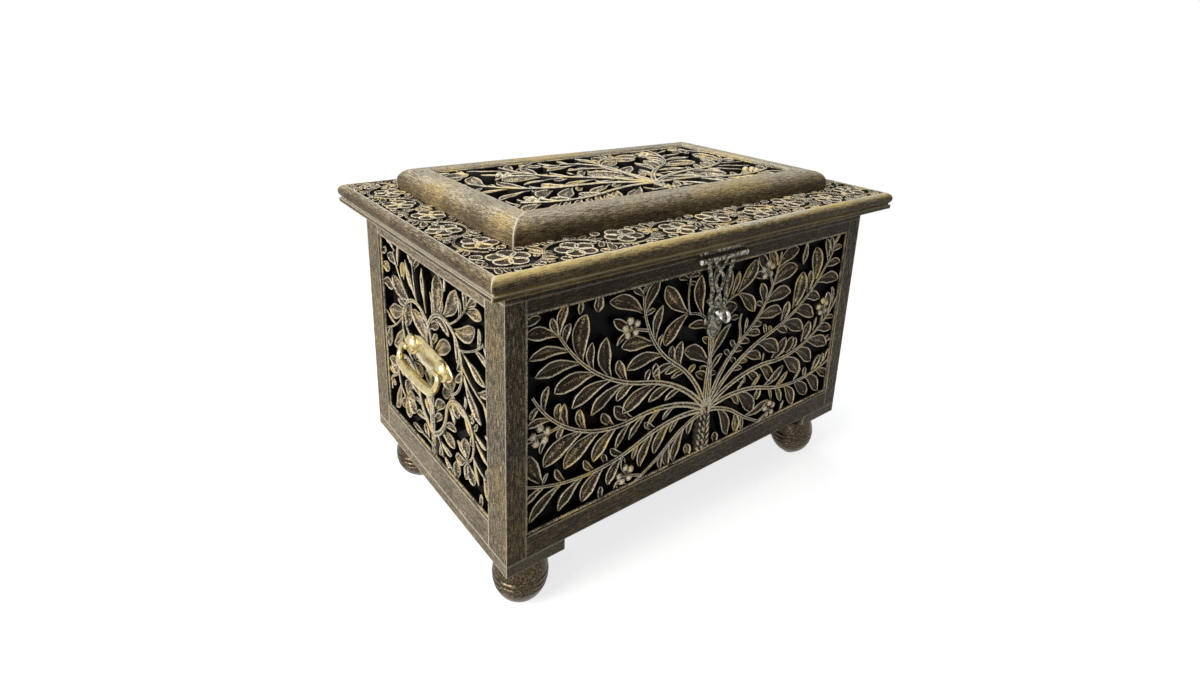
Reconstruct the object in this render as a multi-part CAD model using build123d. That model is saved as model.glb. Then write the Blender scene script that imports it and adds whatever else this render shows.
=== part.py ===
from build123d import *
import os
from math import asin, cos, hypot, pi, radians, sin, sqrt

# A footed keepsake box in carved and pierced wood with brass fittings.
# Millimetres. X runs along the width, -Y is the front, +Z is up and Z = 0 is where the feet stand.
# X = 0 and Y = 0 are the middle of the lid's outline, which is the widest part of the box.

# ---------------------------------------------------------------- driving dimensions
case_width = 416.0
case_depth = 262.0
wall_height = 214.0            # carved walls, from the runners up to the seam under the lid
front_stile = 17.0             # posts seen from the front; also the thickness of all four walls
side_stile = 28.0              # posts seen from the ends
front_bottom_rail = 19.0
side_bottom_rail = 23.0
top_rail = 11.0
panel_recess = 1.5             # carving set back from the face of its frame
carving_depth = 9.0            # pierced boards of the walls
floor_thickness = 9.0

runner_height = 10.0
runner_width = 53.0
foot_height = 55.0
foot_diameter = 46.6
foot_inset = 29.5              # foot axis in from both outer faces of the case
foot_neck_diameter = 33.0
foot_neck_height = 9.0
foot_base_diameter = 22.0
foot_fullness = 2.7            # how much flatter than a ball the bun is turned
foot_cuts = 5                  # straight cuts from its base up to its collar

lid_overhang_side = 20.5
lid_overhang_front = 20.5
lid_overhang_back = 13.5
skirt_height = 13.0
nosing_height = 16.0
nosing_width = 26.0
nosing_lip = 3.6               # square lip under the bullnose
nosing_lip_set = 0.8           # lip in from the bullnose
nosing_quirk = 1.6             # groove between lip and bullnose
nosing_radius = 6.0            # of the bullnose
nosing_round = 5.6             # how far the bullnose leans in at the top
border_set = 6.0               # carved border in from the edge of the lid
border_thickness = 4.0
lid_board_thickness = nosing_height - border_thickness

raised_inset_side = 44.3       # raised frame in from the edge of the lid
raised_inset_front = 49.5
raised_inset_back = 33.0
raised_height = 17.4           # above the carved border
raised_width = 24.7
raised_round = 12.4            # big rounding of its outer edge
raised_bead = 1.5              # small rounding of its inner edge
lid_panel_recess = 2.0
lid_carving_depth = 9.0

rim = 2.6                      # flat rim left around every pierced board
rib = 0.8                      # clear gap kept between neighbouring leaves and stems
probe = 3.0                    # spacing of the discs that stand for a stem when room is looked for
root_reach = 16.0              # discs this near a root belong to the stem it grows from
root_length = 12.8             # part of a leaf that may lie on them
front_trunk = 19.0             # widths at the ground
side_trunk = 11.0
lid_trunk = 15.0
front_fork = 50.0              # heights at which the trunks part into boughs
side_fork = 24.0
lid_fork = 36.0
stem_tip = 2.6
leaf_gap = 18.0                # along a stem, from one pair of leaves to the next
leaf_length = 44.0
leaf_sizes = (1.0, 0.86, 0.73, 0.61)    # shares of that length, tried in turn
leaf_slim = 0.34               # width of a leaf to its length
leaf_spread = 30.0             # degrees between a leaf and its stem
leaf_bend = 40.0               # degrees it curls away from the stem
leaf_fullest = 1.7             # higher puts the widest place nearer the tip
leaf_blunt = 0.72              # lower makes a rounder tip
petal_length = 20.0
petal_slim = 0.6
petal_turns = (0, -52, 52, -100, 100)
berry = 3.6                    # radius
berry_ring = 2.6 * berry       # radius of five round a stalk's end
berry_every = 2                # one bough in so many carries berries
berry_outermost = 0.8          # no nearer its tip than this share of its length
stalk_length = 15.0
stalk_reach = 5.8              # discs this near its root belong to its bough
stalk_width = 3.4
stalk_spread = 48.0            # degrees between a stalk and its bough
stem_cut = 18.0                # straight saw cuts along a stem
leaf_cuts = (0.42, 0.84)       # corners of a leaf's sawn outline, as shares of its length

hinge_length = 42.0
hinge_spacing = 250.0
hinge_leaf = 1.5
hinge_barrel = 3.2             # radius
hinge_pin = 1.6                # radius
hinge_leaf_height = 12.0
knuckles = 3

hasp_plate_width = 54.0
hasp_plate_thickness = 1.5
hasp_drop = 52.0               # knuckle to the middle of the staple slot
hasp_width = 34.0
hasp_thickness = 2.0
hasp_waist = 14.0
hasp_eye = 11.0                # radius of the eye at its foot
hasp_eye_thickness = 2.8
hasp_shoulder = 8.0            # straight below the knuckle
hasp_barrel = 3.2              # radius
hasp_axis_drop = 2.0           # knuckle below the seam
hasp_pin = 1.5                 # radius
hasp_barrel_outer = 9.7        # length of each of the two knuckles on the lid
staple_thickness = 4.0
staple_radius = 6.5
staple_hole = 3.2              # radius, for a padlock shackle
staple_reach = 10.5            # hole in front of the frame's face
staple_plate_width = 20.0
staple_plate_drop = 24.0
staple_plate_thickness = 1.5
staple_slot_play = 1.2         # round the staple, so that the hasp swings over it

handle_height = 185.5          # bail axis above the floor
handle_plate_length = 92.0
handle_plate_width = 27.0
handle_plate_thickness = 1.5
handle_posts = 60.0            # between the two posts
post_radius = 4.6              # rounding of a post over the bail's end
post_length = 6.0              # along the bail's end
post_reach = 7.0               # bail axis out from the plate
bail_radius = 2.6
bail_reach = 25.0              # bail axis to the middle of the grip
bail_half_width = 38.0
bail_shoulder = 3.2            # corner beside a post
bail_corner = 9.0              # corners at the ends of the grip
bail_lean = 34.0               # degrees the resting bail stands off from straight down
grip_radius = 3.8              # swelling in the middle of the grip
grip_length = 44.0
bail_end = 2.5                 # of its pin showing inside each post
heel_drop = 5.5                # stop on each arm that bears on the plate, below the axis
heel_size = 3.4

running_fit = 0.05             # radial, pins in their knuckles and posts
side_play = 0.3                # between knuckles that turn against each other
heel_play = 0.05               # resting bail off its plate

# ---------------------------------------------------------------- levels and faces
lid_width = case_width + 2 * lid_overhang_side
lid_depth = case_depth + lid_overhang_front + lid_overhang_back
case_front = -lid_depth / 2 + lid_overhang_front
case_back = lid_depth / 2 - lid_overhang_back
case_middle = (case_front + case_back) / 2
case_left = -case_width / 2
wall = front_stile
backing = wall - panel_recess - carving_depth

case_bottom = foot_height + runner_height
seam = case_bottom + wall_height
lid_bottom = seam + skirt_height
border_bottom = lid_bottom + lid_board_thickness
border_top = border_bottom + border_thickness
lid_top = border_top + raised_height

front_panel_width = case_width - 2 * front_stile
front_panel_height = wall_height - front_bottom_rail - top_rail
side_panel_width = case_depth - 2 * side_stile
side_panel_height = wall_height - side_bottom_rail - top_rail

raised_left = -lid_width / 2 + raised_inset_side
raised_front = -lid_depth / 2 + raised_inset_front
raised_back = lid_depth / 2 - raised_inset_back
staple_level = seam - hasp_axis_drop - hasp_drop
hasp_axis = (0, case_front - hasp_barrel - side_play, seam - hasp_axis_drop)
hinge_axis = (0, case_back + hinge_barrel + side_play, seam)
bail_axis = case_width / 2 - panel_recess + handle_plate_thickness + post_reach
lid_panel_width = -2 * (raised_left + raised_width)
lid_panel_depth = raised_back - raised_front - 2 * raised_width
lid_panel_middle = (raised_front + raised_back) / 2


# ---------------------------------------------------------------- small helpers
def slab(x0, x1, y0, y1, z0, z1):
    """A straight board between two opposite corners."""
    middle = ((x0 + x1) / 2, (y0 + y1) / 2, (z0 + z1) / 2)
    return Pos(*middle) * Box(abs(x1 - x0), abs(y1 - y0), abs(z1 - z0))


def rod(start, direction, radius, length):
    """A round bar from a point along a direction."""
    return extrude(Plane(origin=start, z_dir=direction) * Circle(radius), amount=length)


def mitred(section, x0, x1, y0, y1, side):
    """One side of a mitred frame whose outer edge runs round x0..x1, y0..y1.

    The section is drawn with X inwards from the outer edge and Y up. The moulding is run straight
    through both corners and then sawn off at 45 degrees.
    """
    corner, run, inwards, length = {
        "front": ((x0, y0), (1, 0, 0), (0, 1, 0), x1 - x0),
        "right": ((x1, y0), (0, 1, 0), (-1, 0, 0), y1 - y0),
        "back": ((x1, y1), (-1, 0, 0), (0, -1, 0), x1 - x0),
        "left": ((x0, y1), (0, -1, 0), (1, 0, 0), y1 - y0),
    }[side]
    moulding = extrude(Plane(origin=(*corner, 0), x_dir=inwards, z_dir=run) * section, amount=length)
    box = section.bounding_box()
    width = box.max.X
    outline = Polygon((0, 0), (length, 0), (length - width, width), (width, width), align=None)
    saw = Plane(origin=(*corner, box.min.Y), x_dir=run, z_dir=(0, 0, 1)) * outline
    return moulding & extrude(saw, amount=box.size.Y)


# ---------------------------------------------------------------- the carved tree
# A pierced board is drawn flat, x across and y up from the bottom of its opening. Stems are chains of
# circular runs, each a (length, turn in degrees) pair; a leaf is one such run with two curved sides.
def along(start, run, share):
    """Place and heading part of the way along one circular run."""
    x, y, heading = start
    length, turn = run
    half = radians(turn) * share / 2
    chord = length * share * (sin(half) / half if half else 1)
    return x + chord * cos(heading + half), y + chord * sin(heading + half), heading + 2 * half


def stem_places(stem, step, fewest=2):
    """(x, y, heading, half width) at even steps along a stem, both ends included."""
    place, runs, root, tip = stem
    total = sum(length for length, turn in runs)
    places = []
    gone = 0
    for run in runs:
        count = max(fewest, round(run[0] / step))
        for i in range(count):
            taper = (gone + run[0] * i / count) / total
            places.append((*along(place, run, i / count), (root + (tip - root) * taper) / 2))
        gone += run[0]
        place = along(place, run, 1)
    return places + [(*place, tip / 2)]


def leaf_half(width, share):
    """Half the width of a spoon-shaped leaf: slender at its root, full and round near its tip."""
    return width / 2 * sin(pi * share**leaf_fullest) ** leaf_blunt


def leaf_places(leaf, step):
    """(x, y, half width) at even steps along a leaf's bent midrib, as far as its tip."""
    x, y, heading, length, width, bend = leaf
    count = max(4, round(length / step))
    places = []
    for i in range(1, count):
        share = i / count
        px, py, turned = along((x, y, heading), (length, bend), share)
        places.append((px, py, leaf_half(width, share)))
    return places + [(*along((x, y, heading), (length, bend), 1)[:2], 0)]


class Growth:
    """Foliage that fills an opening without running into itself."""

    def __init__(self, half_width, height):
        self.half_width = half_width
        self.height = height
        self.stems = []
        self.leaves = []
        self.berries = []
        self.taken = []

    def clear(self, x, y, radius, root, reach):
        """Room for a disc, leaving out what lies within reach of the place it grows from."""
        if abs(x) > self.half_width - radius or not radius < y < self.height - radius:
            return False
        return all(
            hypot(x - tx, y - ty) >= tr + radius + rib or hypot(tx - root[0], ty - root[1]) <= reach
            for tx, ty, tr in self.taken
        )

    def add_stem(self, start, runs, root, tip):
        stem = (start, runs, root, tip)
        self.stems.append(stem)
        self.taken += [(x, y, half) for x, y, heading, half in stem_places(stem, probe)]
        return stem

    def try_leaf(self, x, y, heading, bend):
        """The longest leaf that fits, if any does, rooted across the stem at x, y."""
        x -= stem_tip * cos(heading)
        y -= stem_tip * sin(heading)
        for size in leaf_sizes:
            length = size * leaf_length
            leaf = (x, y, heading, length, length * leaf_slim, bend)
            places = leaf_places(leaf, probe)
            if all(self.clear(px, py, half, (x, y), root_reach)
                   for px, py, half in places if hypot(px - x, py - y) > root_length):
                self.leaves.append(leaf)
                self.taken += places
                return

    def try_berries(self, x, y, heading):
        """Five berries round the end of a short stalk."""
        stalk = ((x, y, heading), [(stalk_length, 0)], stalk_width, stem_tip)
        bx, by, turned = along((x, y, heading), (stalk_length + berry, 0), 1)
        if not self.clear(bx, by, berry_ring, (x, y), stalk_reach):
            return False
        self.add_stem(*stalk)
        self.berries.append((bx, by))
        self.taken.append((bx, by, berry_ring))
        return True

    def berries_along(self, stem):
        """Berries on the outer part of a stem, at the first place with room for them."""
        places = stem_places(stem, probe)
        for x, y, heading, half in reversed(places[:int(berry_outermost * len(places))]):
            for side in (1, -1):
                if self.try_berries(x, y, heading + side * radians(stalk_spread)):
                    return

    def add_blossom(self, x, y, heading):
        """Petals spread like a fan at the end of a stem."""
        for turn in petal_turns:
            petal = (x, y, heading + radians(turn), petal_length, petal_length * petal_slim, 0)
            self.leaves.append(petal)
            self.taken += leaf_places(petal, probe)

    def leaves_along(self, stem):
        """Leaves in pairs along a stem and one at its tip."""
        places = stem_places(stem, leaf_gap)
        for i, (x, y, heading, half) in enumerate(places[1:]):
            first = 1 if i % 2 else -1
            for side in (first, -first):
                turned = heading + side * radians(leaf_spread)
                self.try_leaf(x, y, turned, side * leaf_bend)
        self.try_leaf(x, y, heading, -leaf_bend / 2)


def grow_tree(half_width, height, fork, trunk, boughs, blossoms=False):
    """A tree of life: a trunk, boughs fanning out both ways, leaves, and berries or blossoms.

    A bough is (heading, length, turn, length, turn, width) on the right; lengths are shares of half
    the panel's width. The left one mirrors it, a little shorter, so that the two sides interlock.
    """
    tree = Growth(half_width, height)
    tree.add_stem((0, 0, pi / 2), [(fork + trunk / 4, 0)], trunk, trunk * 0.7)
    grown = []
    for side, size in ((1, half_width), (-1, half_width * 0.95)):
        for i, (heading, length, turn, length2, turn2, width) in enumerate(boughs):
            aim = radians(heading) if side > 0 else pi - radians(heading)
            runs = [(length * size, side * turn), (length2 * size, side * turn2)]
            start = (side * trunk / 8, fork - i * trunk / 12, aim)
            grown.append(tree.add_stem(start, runs, width, stem_tip))
    for i, bough in enumerate(grown):
        if blossoms:
            tree.add_blossom(*stem_places(bough, probe)[-1][:3])
        elif i % berry_every:
            tree.berries_along(bough)
    for bough in grown:
        tree.leaves_along(bough)
    return tree


def stem_face(stem):
    """The sawn outline of a tapering stem, in short straight cuts down both sides."""
    places = stem_places(stem, stem_cut, 1)
    left = [(x - half * sin(heading), y + half * cos(heading)) for x, y, heading, half in places]
    right = [(x + half * sin(heading), y - half * cos(heading)) for x, y, heading, half in places]
    return Polygon(*right, *reversed(left), align=None).face()


def leaf_face(leaf):
    """The sawn outline of a spoon-shaped leaf, bent along its midrib."""
    x, y, heading, length, width, bend = leaf
    left, right = [], []
    for share in leaf_cuts:
        px, py, turned = along((x, y, heading), (length, bend), share)
        half = leaf_half(width, share)
        left.append((px - half * sin(turned), py + half * cos(turned)))
        right.append((px + half * sin(turned), py - half * cos(turned)))
    tip = along((x, y, heading), (length, bend), 1)
    return Polygon((x, y), *right, tip[:2], *reversed(left), align=None).face()


def berry_face(x, y):
    """The sawn outline of five berries that touch: three corners on each berry."""
    corners = []
    for i in range(5):
        middle = 2 * pi * (i + 0.3) / 5
        for turn, reach in ((-0.3, 2.6), (0.3, 2.6), (pi / 5, 1.5)):
            corners.append((x + reach * berry * cos(middle + turn), y + reach * berry * sin(middle + turn)))
    return Polygon(*corners, align=None).face()


def pierced_board(tree, pads):
    """The drawn tree joined to the flat rim round it, as a flat face with the air cut out.

    Pads are places left solid behind the brass that is fastened to the board.
    """
    width, height = 2 * tree.half_width, tree.height
    sheet = Pos(0, height / 2) * Rectangle(width, height)
    opening = Pos(0, height / 2) * Rectangle(width - 2 * rim, height - 2 * rim)
    drawn = [stem_face(stem) for stem in tree.stems]
    drawn += [leaf_face(leaf) for leaf in tree.leaves]
    drawn += [berry_face(x, y) for x, y in tree.berries]
    foliage = drawn[0].fuse(*drawn[1:], *pads)
    return (foliage & sheet) + (sheet - opening)


def carved_board(tree, place, depth, pads=()):
    """A pierced board cut from the drawing; place puts its front face and its bottom middle."""
    return extrude(place * pierced_board(tree, pads), amount=-depth)


# Boughs: heading, length, turn, length, turn, width; lengths in halves of the panel's width.
front_boughs = [
    (87, 0.30, 14, 0.32, -96, 4.4),
    (70, 0.38, -34, 0.46, 50, 5.0),
    (52, 0.50, -38, 0.60, 46, 5.6),
    (33, 0.48, -40, 0.66, 70, 5.8),
    (14, 0.42, -34, 0.64, 44, 5.4),
    (-8, 0.24, -30, 0.34, 20, 4.6),
]
side_boughs = [
    (86, 0.78, 16, 1.45, -262, 5.4),
    (22, 0.44, 58, 0.98, -236, 5.0),
]
lid_boughs = [
    (84, 0.34, 20, 0.48, -96, 4.8),
    (60, 0.46, -30, 0.58, 56, 5.4),
    (36, 0.52, -36, 0.64, 66, 5.8),
    (8, 0.42, -30, 0.56, 50, 5.2),
]
front_tree = grow_tree(front_panel_width / 2, front_panel_height, front_fork, front_trunk, front_boughs)
side_tree = grow_tree(side_panel_width / 2, side_panel_height, side_fork, side_trunk, side_boughs, True)
lid_tree = grow_tree(lid_panel_width / 2, lid_panel_depth, lid_fork, lid_trunk, lid_boughs)


# ---------------------------------------------------------------- the case
def turned_foot():
    """A bun foot standing on Z = 0, with a collar on top and a small base under it."""
    swell = foot_diameter / 2 + foot_fullness
    neck = foot_neck_diameter / 2
    base = foot_base_diameter / 2
    shoulder = foot_height - foot_neck_height
    rise = asin(sqrt(swell**2 - (neck + foot_fullness) ** 2) / swell)
    fall = asin(sqrt(swell**2 - (base + foot_fullness) ** 2) / swell)
    centre = shoulder - swell * sin(rise)
    profile = [(0, 0), (base, 0)]
    for i in range(foot_cuts + 1):
        angle = -fall + (rise + fall) * i / foot_cuts
        profile.append((swell * cos(angle) - foot_fullness, centre + swell * sin(angle)))
    profile += [(neck, foot_height), (0, foot_height)]
    return revolve(Plane.XZ * Polygon(*profile, align=None), Axis.Z)


foot_places = {
    f"{row}_{end}": (x, y)
    for row, y in (("front", case_front + foot_inset), ("back", case_back - foot_inset))
    for end, x in (("left", case_left + foot_inset), ("right", -case_left - foot_inset))
}


def build_case():
    pieces = {}
    for end, x in (("left", case_left), ("right", -case_left - front_stile)):
        for row, y in (("front", case_front), ("back", case_back - side_stile)):
            pieces[f"corner_post_{row}_{end}"] = slab(
                x, x + front_stile, y, y + side_stile, case_bottom, seam)
    for row, y in (("front", case_front), ("back", case_back - wall)):
        half = front_panel_width / 2
        floor = case_bottom + front_bottom_rail
        pieces[f"{row}_bottom_rail"] = slab(-half, half, y, y + wall, case_bottom, floor)
        pieces[f"{row}_top_rail"] = slab(-half, half, y, y + wall, seam - top_rail, seam)
    for end, x in (("left", case_left), ("right", -case_left - wall)):
        y0, y1 = case_front + side_stile, case_back - side_stile
        floor = case_bottom + side_bottom_rail
        pieces[f"{end}_bottom_rail"] = slab(x, x + wall, y0, y1, case_bottom, floor)
        pieces[f"{end}_top_rail"] = slab(x, x + wall, y0, y1, seam - top_rail, seam)
    return pieces


def build_walls():
    """Pierced boards in three walls, each with a dark board behind it, and plain boards at the back."""
    pieces = {}
    low, high = case_bottom + front_bottom_rail, seam - top_rail
    half = front_panel_width / 2
    face = case_front + panel_recess
    foot = staple_level - staple_plate_drop
    pad = Pos(0, (foot + high) / 2 - low) * Rectangle(staple_plate_width, high - foot)
    place = Plane(origin=(0, face, low), x_dir=(1, 0, 0), z_dir=(0, -1, 0))
    pieces["front_carved_panel"] = carved_board(front_tree, place, carving_depth, [pad.face()])
    pieces["front_backing_board"] = slab(-half, half, face + carving_depth, case_front + wall, low, high)
    pieces["back_panel"] = slab(-half, half, case_back - wall + backing, case_back - panel_recess, low, high)
    pieces["back_backing_board"] = slab(-half, half, case_back - wall, case_back - wall + backing, low, high)

    low = case_bottom + side_bottom_rail
    y0, y1 = case_front + side_stile, case_back - side_stile
    pad = Pos(0, handle_height - low) * Rectangle(handle_posts + 3 * post_radius, 3 * post_radius)
    for end, side in (("left", -1), ("right", 1)):
        face = case_width / 2 - panel_recess
        place = Plane(origin=(side * face, case_middle, low), x_dir=(0, side, 0), z_dir=(side, 0, 0))
        pieces[f"{end}_carved_panel"] = carved_board(side_tree, place, carving_depth, [pad.face()])
        pieces[f"{end}_backing_board"] = slab(
            side * (face - carving_depth), side * (case_width / 2 - wall), y0, y1, low, high)
    return pieces


def build_base():
    pieces = {}
    inner_x = case_width / 2 - wall
    pieces["floor_board"] = slab(
        -inner_x, inner_x, case_front + wall, case_back - wall, case_bottom, case_bottom + floor_thickness)
    for end, side in (("left", -1), ("right", 1)):
        outer = side * case_width / 2
        pieces[f"{end}_runner"] = slab(
            outer, outer - side * runner_width, case_front, case_back, foot_height, case_bottom)
    for name, (x, y) in foot_places.items():
        pieces[f"bun_foot_{name}"] = Pos(x, y, 0) * turned_foot()
    return pieces


# ---------------------------------------------------------------- the lid
def nosing_section():
    """Square lip, quirk and bullnose, with a rebate on top for the carved border."""
    centre = border_top - sqrt(nosing_radius**2 - (nosing_radius - nosing_round) ** 2)
    lip = lid_bottom + nosing_lip
    low = lip + nosing_quirk
    quirk = nosing_radius - sqrt(nosing_radius**2 - (centre - low) ** 2)
    outline = Polyline((nosing_width, border_bottom), (nosing_width, lid_bottom),
                       (nosing_lip_set, lid_bottom),
                       (nosing_lip_set, lip), (quirk, lip), (quirk, low))
    outline += ThreePointArc((quirk, low), (0, centre), (nosing_round, border_top))
    outline += Polyline((nosing_round, border_top), (border_set, border_top), (border_set, border_bottom),
                        (nosing_width, border_bottom))
    return make_face(outline)


def raised_section():
    """A thick flat band with a big rounding down its outer side."""
    waist = lid_top - raised_round
    flat = raised_width - raised_bead
    mid = raised_round * (1 - cos(pi / 4))
    outline = Polyline((raised_width, border_bottom), (0, border_bottom), (0, waist))
    outline += ThreePointArc((0, waist), (mid, lid_top - mid), (raised_round, lid_top))
    outline += Polyline((raised_round, lid_top), (flat, lid_top), (raised_width, lid_top - raised_bead),
                        (raised_width, border_bottom))
    return make_face(outline)


def border_strip(side):
    """One flat strip between the nosing and the raised frame, mitred from corner to corner."""
    x, y = lid_width / 2 - border_set, lid_depth / 2 - border_set
    outer = {"a": (-x, -y), "b": (x, -y), "c": (x, y), "d": (-x, y)}
    inner = {"a": (raised_left, raised_front), "b": (-raised_left, raised_front),
             "c": (-raised_left, raised_back), "d": (raised_left, raised_back)}
    first, last = {"front": "ab", "right": "bc", "back": "cd", "left": "da"}[side]
    outline = Polygon(outer[first], outer[last], inner[last], inner[first], align=None)
    return extrude(Pos(0, 0, border_bottom) * outline, amount=border_thickness)


def build_lid():
    pieces = {}
    x, y = lid_width / 2, lid_depth / 2
    pieces["lid_board"] = slab(
        nosing_width - x, x - nosing_width, nosing_width - y, y - nosing_width, lid_bottom, border_bottom)
    pieces["lid_skirt_front"] = slab(case_left, -case_left, case_front, case_front + wall, seam, lid_bottom)
    pieces["lid_skirt_back"] = slab(case_left, -case_left, case_back - wall, case_back, seam, lid_bottom)
    y0, y1 = case_front + wall, case_back - wall
    pieces["lid_skirt_left"] = slab(case_left, case_left + wall, y0, y1, seam, lid_bottom)
    pieces["lid_skirt_right"] = slab(-case_left - wall, -case_left, y0, y1, seam, lid_bottom)
    for side in ("front", "right", "back", "left"):
        pieces[f"lid_nosing_{side}"] = mitred(nosing_section(), -x, x, -y, y, side)
        pieces[f"lid_border_{side}"] = border_strip(side)
        pieces[f"raised_frame_{side}"] = mitred(
            raised_section(), raised_left, -raised_left, raised_front, raised_back, side)

    face = lid_top - lid_panel_recess
    back = face - lid_carving_depth
    half = lid_panel_width / 2
    y0 = raised_front + raised_width
    place = Plane(origin=(0, y0, face), x_dir=(1, 0, 0), z_dir=(0, 0, 1))
    pieces["lid_carved_panel"] = carved_board(lid_tree, place, lid_carving_depth)
    pieces["lid_panel_backing"] = slab(-half, half, y0, y0 + lid_panel_depth, border_bottom, back)
    return pieces


# ---------------------------------------------------------------- brass
def knuckle(leaf, x0, x1, axis, radius, hole):
    """A leaf with one more knuckle rolled on to it, bored for its pin."""
    start = (x0, axis[1], axis[2])
    return leaf + rod(start, (1, 0, 0), radius, x1 - x0) - rod(start, (1, 0, 0), hole, x1 - x0)


def hinge_leaf_side(x, turn):
    """One leaf of a butt hinge screwed to the back; turn is 1 above the axis and -1 below it.

    The case's leaf carries the odd knuckles and the lid's leaf the even ones.
    """
    clear = hinge_barrel + side_play
    leaf = slab(x, x + hinge_length, case_back, case_back + hinge_leaf, seam + turn * clear,
                seam + turn * hinge_leaf_height)
    step = hinge_length / knuckles
    hole = hinge_pin + running_fit
    for i in range(0 if turn < 0 else 1, knuckles, 2):
        start = x + i * step + (side_play / 2 if i else 0)
        end = x + (i + 1) * step - (side_play / 2 if i < knuckles - 1 else 0)
        leaf += slab(start, end, case_back, case_back + hinge_leaf, seam, seam + turn * clear)
        leaf = knuckle(leaf, start, end, hinge_axis, hinge_barrel, hole)
    return leaf


def build_hinges():
    places = [side * hinge_spacing / 2 - hinge_length / 2 for side in (-1, 1)]
    return {
        "case_hinge_leaves": Compound([hinge_leaf_side(x, -1) for x in places]),
        "lid_hinge_leaves": Compound([hinge_leaf_side(x, 1) for x in places]),
        "hinge_pins": Compound([
            rod((x, hinge_axis[1], seam), (1, 0, 0), hinge_pin, hinge_length) for x in places]),
    }


def hasp_outline():
    """The strap seen from the front, hanging from its knuckle at the origin down to its eye."""
    half = hasp_width / 2
    waist = hasp_waist / 2
    end = -hasp_drop
    side = [
        (half, 0), (half, -hasp_shoulder), (0.68 * half, 0.24 * end), (0.94 * half, 0.36 * end),
        (0.86 * half, 0.46 * end), (0.5 * half, 0.56 * end), (waist, 0.68 * end), (waist, end),
    ]
    strap = Polygon(*[(-x, y) for x, y in side], *reversed(side), align=None)
    piercing = Polygon((0, 0.6 * end), (0.14 * half, 0.42 * end), (0, 0.24 * end), (-0.14 * half, 0.42 * end),
                       align=None)
    strap -= piercing
    for x in (-0.5 * half, 0.5 * half):
        strap -= Pos(x, 0.38 * end) * RegularPolygon(0.17 * half, 6)
    return strap


def build_hasp():
    """A plate with two knuckles on the lid's skirt, a strap hanging from it, and a staple on the case."""
    pieces = {}
    x, y, z = hasp_axis
    half = hasp_plate_width / 2
    inner = half - hasp_barrel_outer
    top = lid_bottom - side_play
    low = z + hasp_barrel + side_play
    hole = hasp_pin + running_fit
    plate = slab(-half, half, case_front - hasp_plate_thickness, case_front, low, top)
    for x0, x1 in ((-half, -inner), (inner, half)):
        plate += slab(x0, x1, case_front - hasp_plate_thickness, case_front - side_play, z, low)
        plate = knuckle(plate, x0, x1, hasp_axis, hasp_barrel, hole)
    pieces["hasp_plate"] = plate
    pieces["hasp_pin"] = rod((-half, y, z), (1, 0, 0), hasp_pin, hasp_plate_width)

    back = case_front - side_play
    hang = Plane(origin=(0, back, z), x_dir=(1, 0, 0), z_dir=(0, -1, 0))
    strap = extrude(hang * hasp_outline(), amount=hasp_thickness)
    eye = Pos(0, -hasp_drop) * Circle(hasp_eye)
    strap += extrude(hang * eye, amount=hasp_eye_thickness)
    strap = knuckle(strap, side_play - inner, inner - side_play, hasp_axis, hasp_barrel, hole)
    slot = Pos(0, -hasp_drop) * Rectangle(
        staple_thickness + 2 * staple_slot_play, 2 * (staple_radius + staple_slot_play))
    strap -= extrude(hang * slot, amount=hasp_eye_thickness)
    pieces["hasp_strap"] = strap

    face = case_front + panel_recess
    front = Plane(origin=(0, face, staple_level), x_dir=(1, 0, 0), z_dir=(0, -1, 0))
    wide, drop = staple_plate_width / 2, staple_plate_drop
    side = [(0.5 * wide, 0.5 * drop), (wide, 0.2 * drop), (wide, -0.3 * drop), (0.45 * wide, -0.7 * drop)]
    leaf = Polygon((0, -drop), *reversed(side), *[(-x, y) for x, y in side], align=None)
    eye = Plane(origin=(-staple_thickness / 2, 0, 0), x_dir=(0, 1, 0), z_dir=(1, 0, 0))
    centre = (case_front - staple_reach, staple_level)
    loop = Pos(*centre) * Circle(staple_radius)
    loop += Pos((centre[0] + face) / 2, staple_level) * Rectangle(face - centre[0], 2 * staple_radius)
    loop -= Pos(*centre) * Circle(staple_hole)
    pieces["hasp_staple"] = extrude(front * leaf, amount=staple_plate_thickness) + extrude(
        eye * loop, amount=staple_thickness)
    return pieces


def handle_plate(side):
    """A scalloped back plate with two posts, each bored for one end of the bail."""
    face = side * (case_width / 2 - panel_recess)
    seat = Plane(origin=(face, case_middle, handle_height), x_dir=(0, 1, 0), z_dir=(side, 0, 0))
    long, wide = handle_plate_length / 2, handle_plate_width / 2
    corner = [(long, 0), (0.86 * long, 0.5 * wide), (0.72 * long, wide), (0.52 * long, 0.78 * wide),
              (0.28 * long, 0.62 * wide)]
    upper = corner + [(0, 0.8 * wide)] + [(-x, y) for x, y in reversed(corner)]
    lower = [(-x, -y) for x, y in upper[1:-1]]
    plate = extrude(seat * Polygon(*upper, *lower, align=None), amount=handle_plate_thickness)
    reach = handle_plate_thickness + post_reach
    lug = Rectangle(reach, 2 * post_radius, align=(Align.MIN, Align.CENTER))
    lug += Pos(reach, 0) * Circle(post_radius)
    lug -= Pos(reach, 0) * Circle(bail_radius + running_fit)
    for y in (-handle_posts / 2, handle_posts / 2):
        middle = Plane(origin=(face, case_middle + y, handle_height), x_dir=(side, 0, 0), z_dir=(0, 1, 0))
        plate += extrude(middle * lug, amount=post_length / 2, both=True)
    return plate


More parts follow.
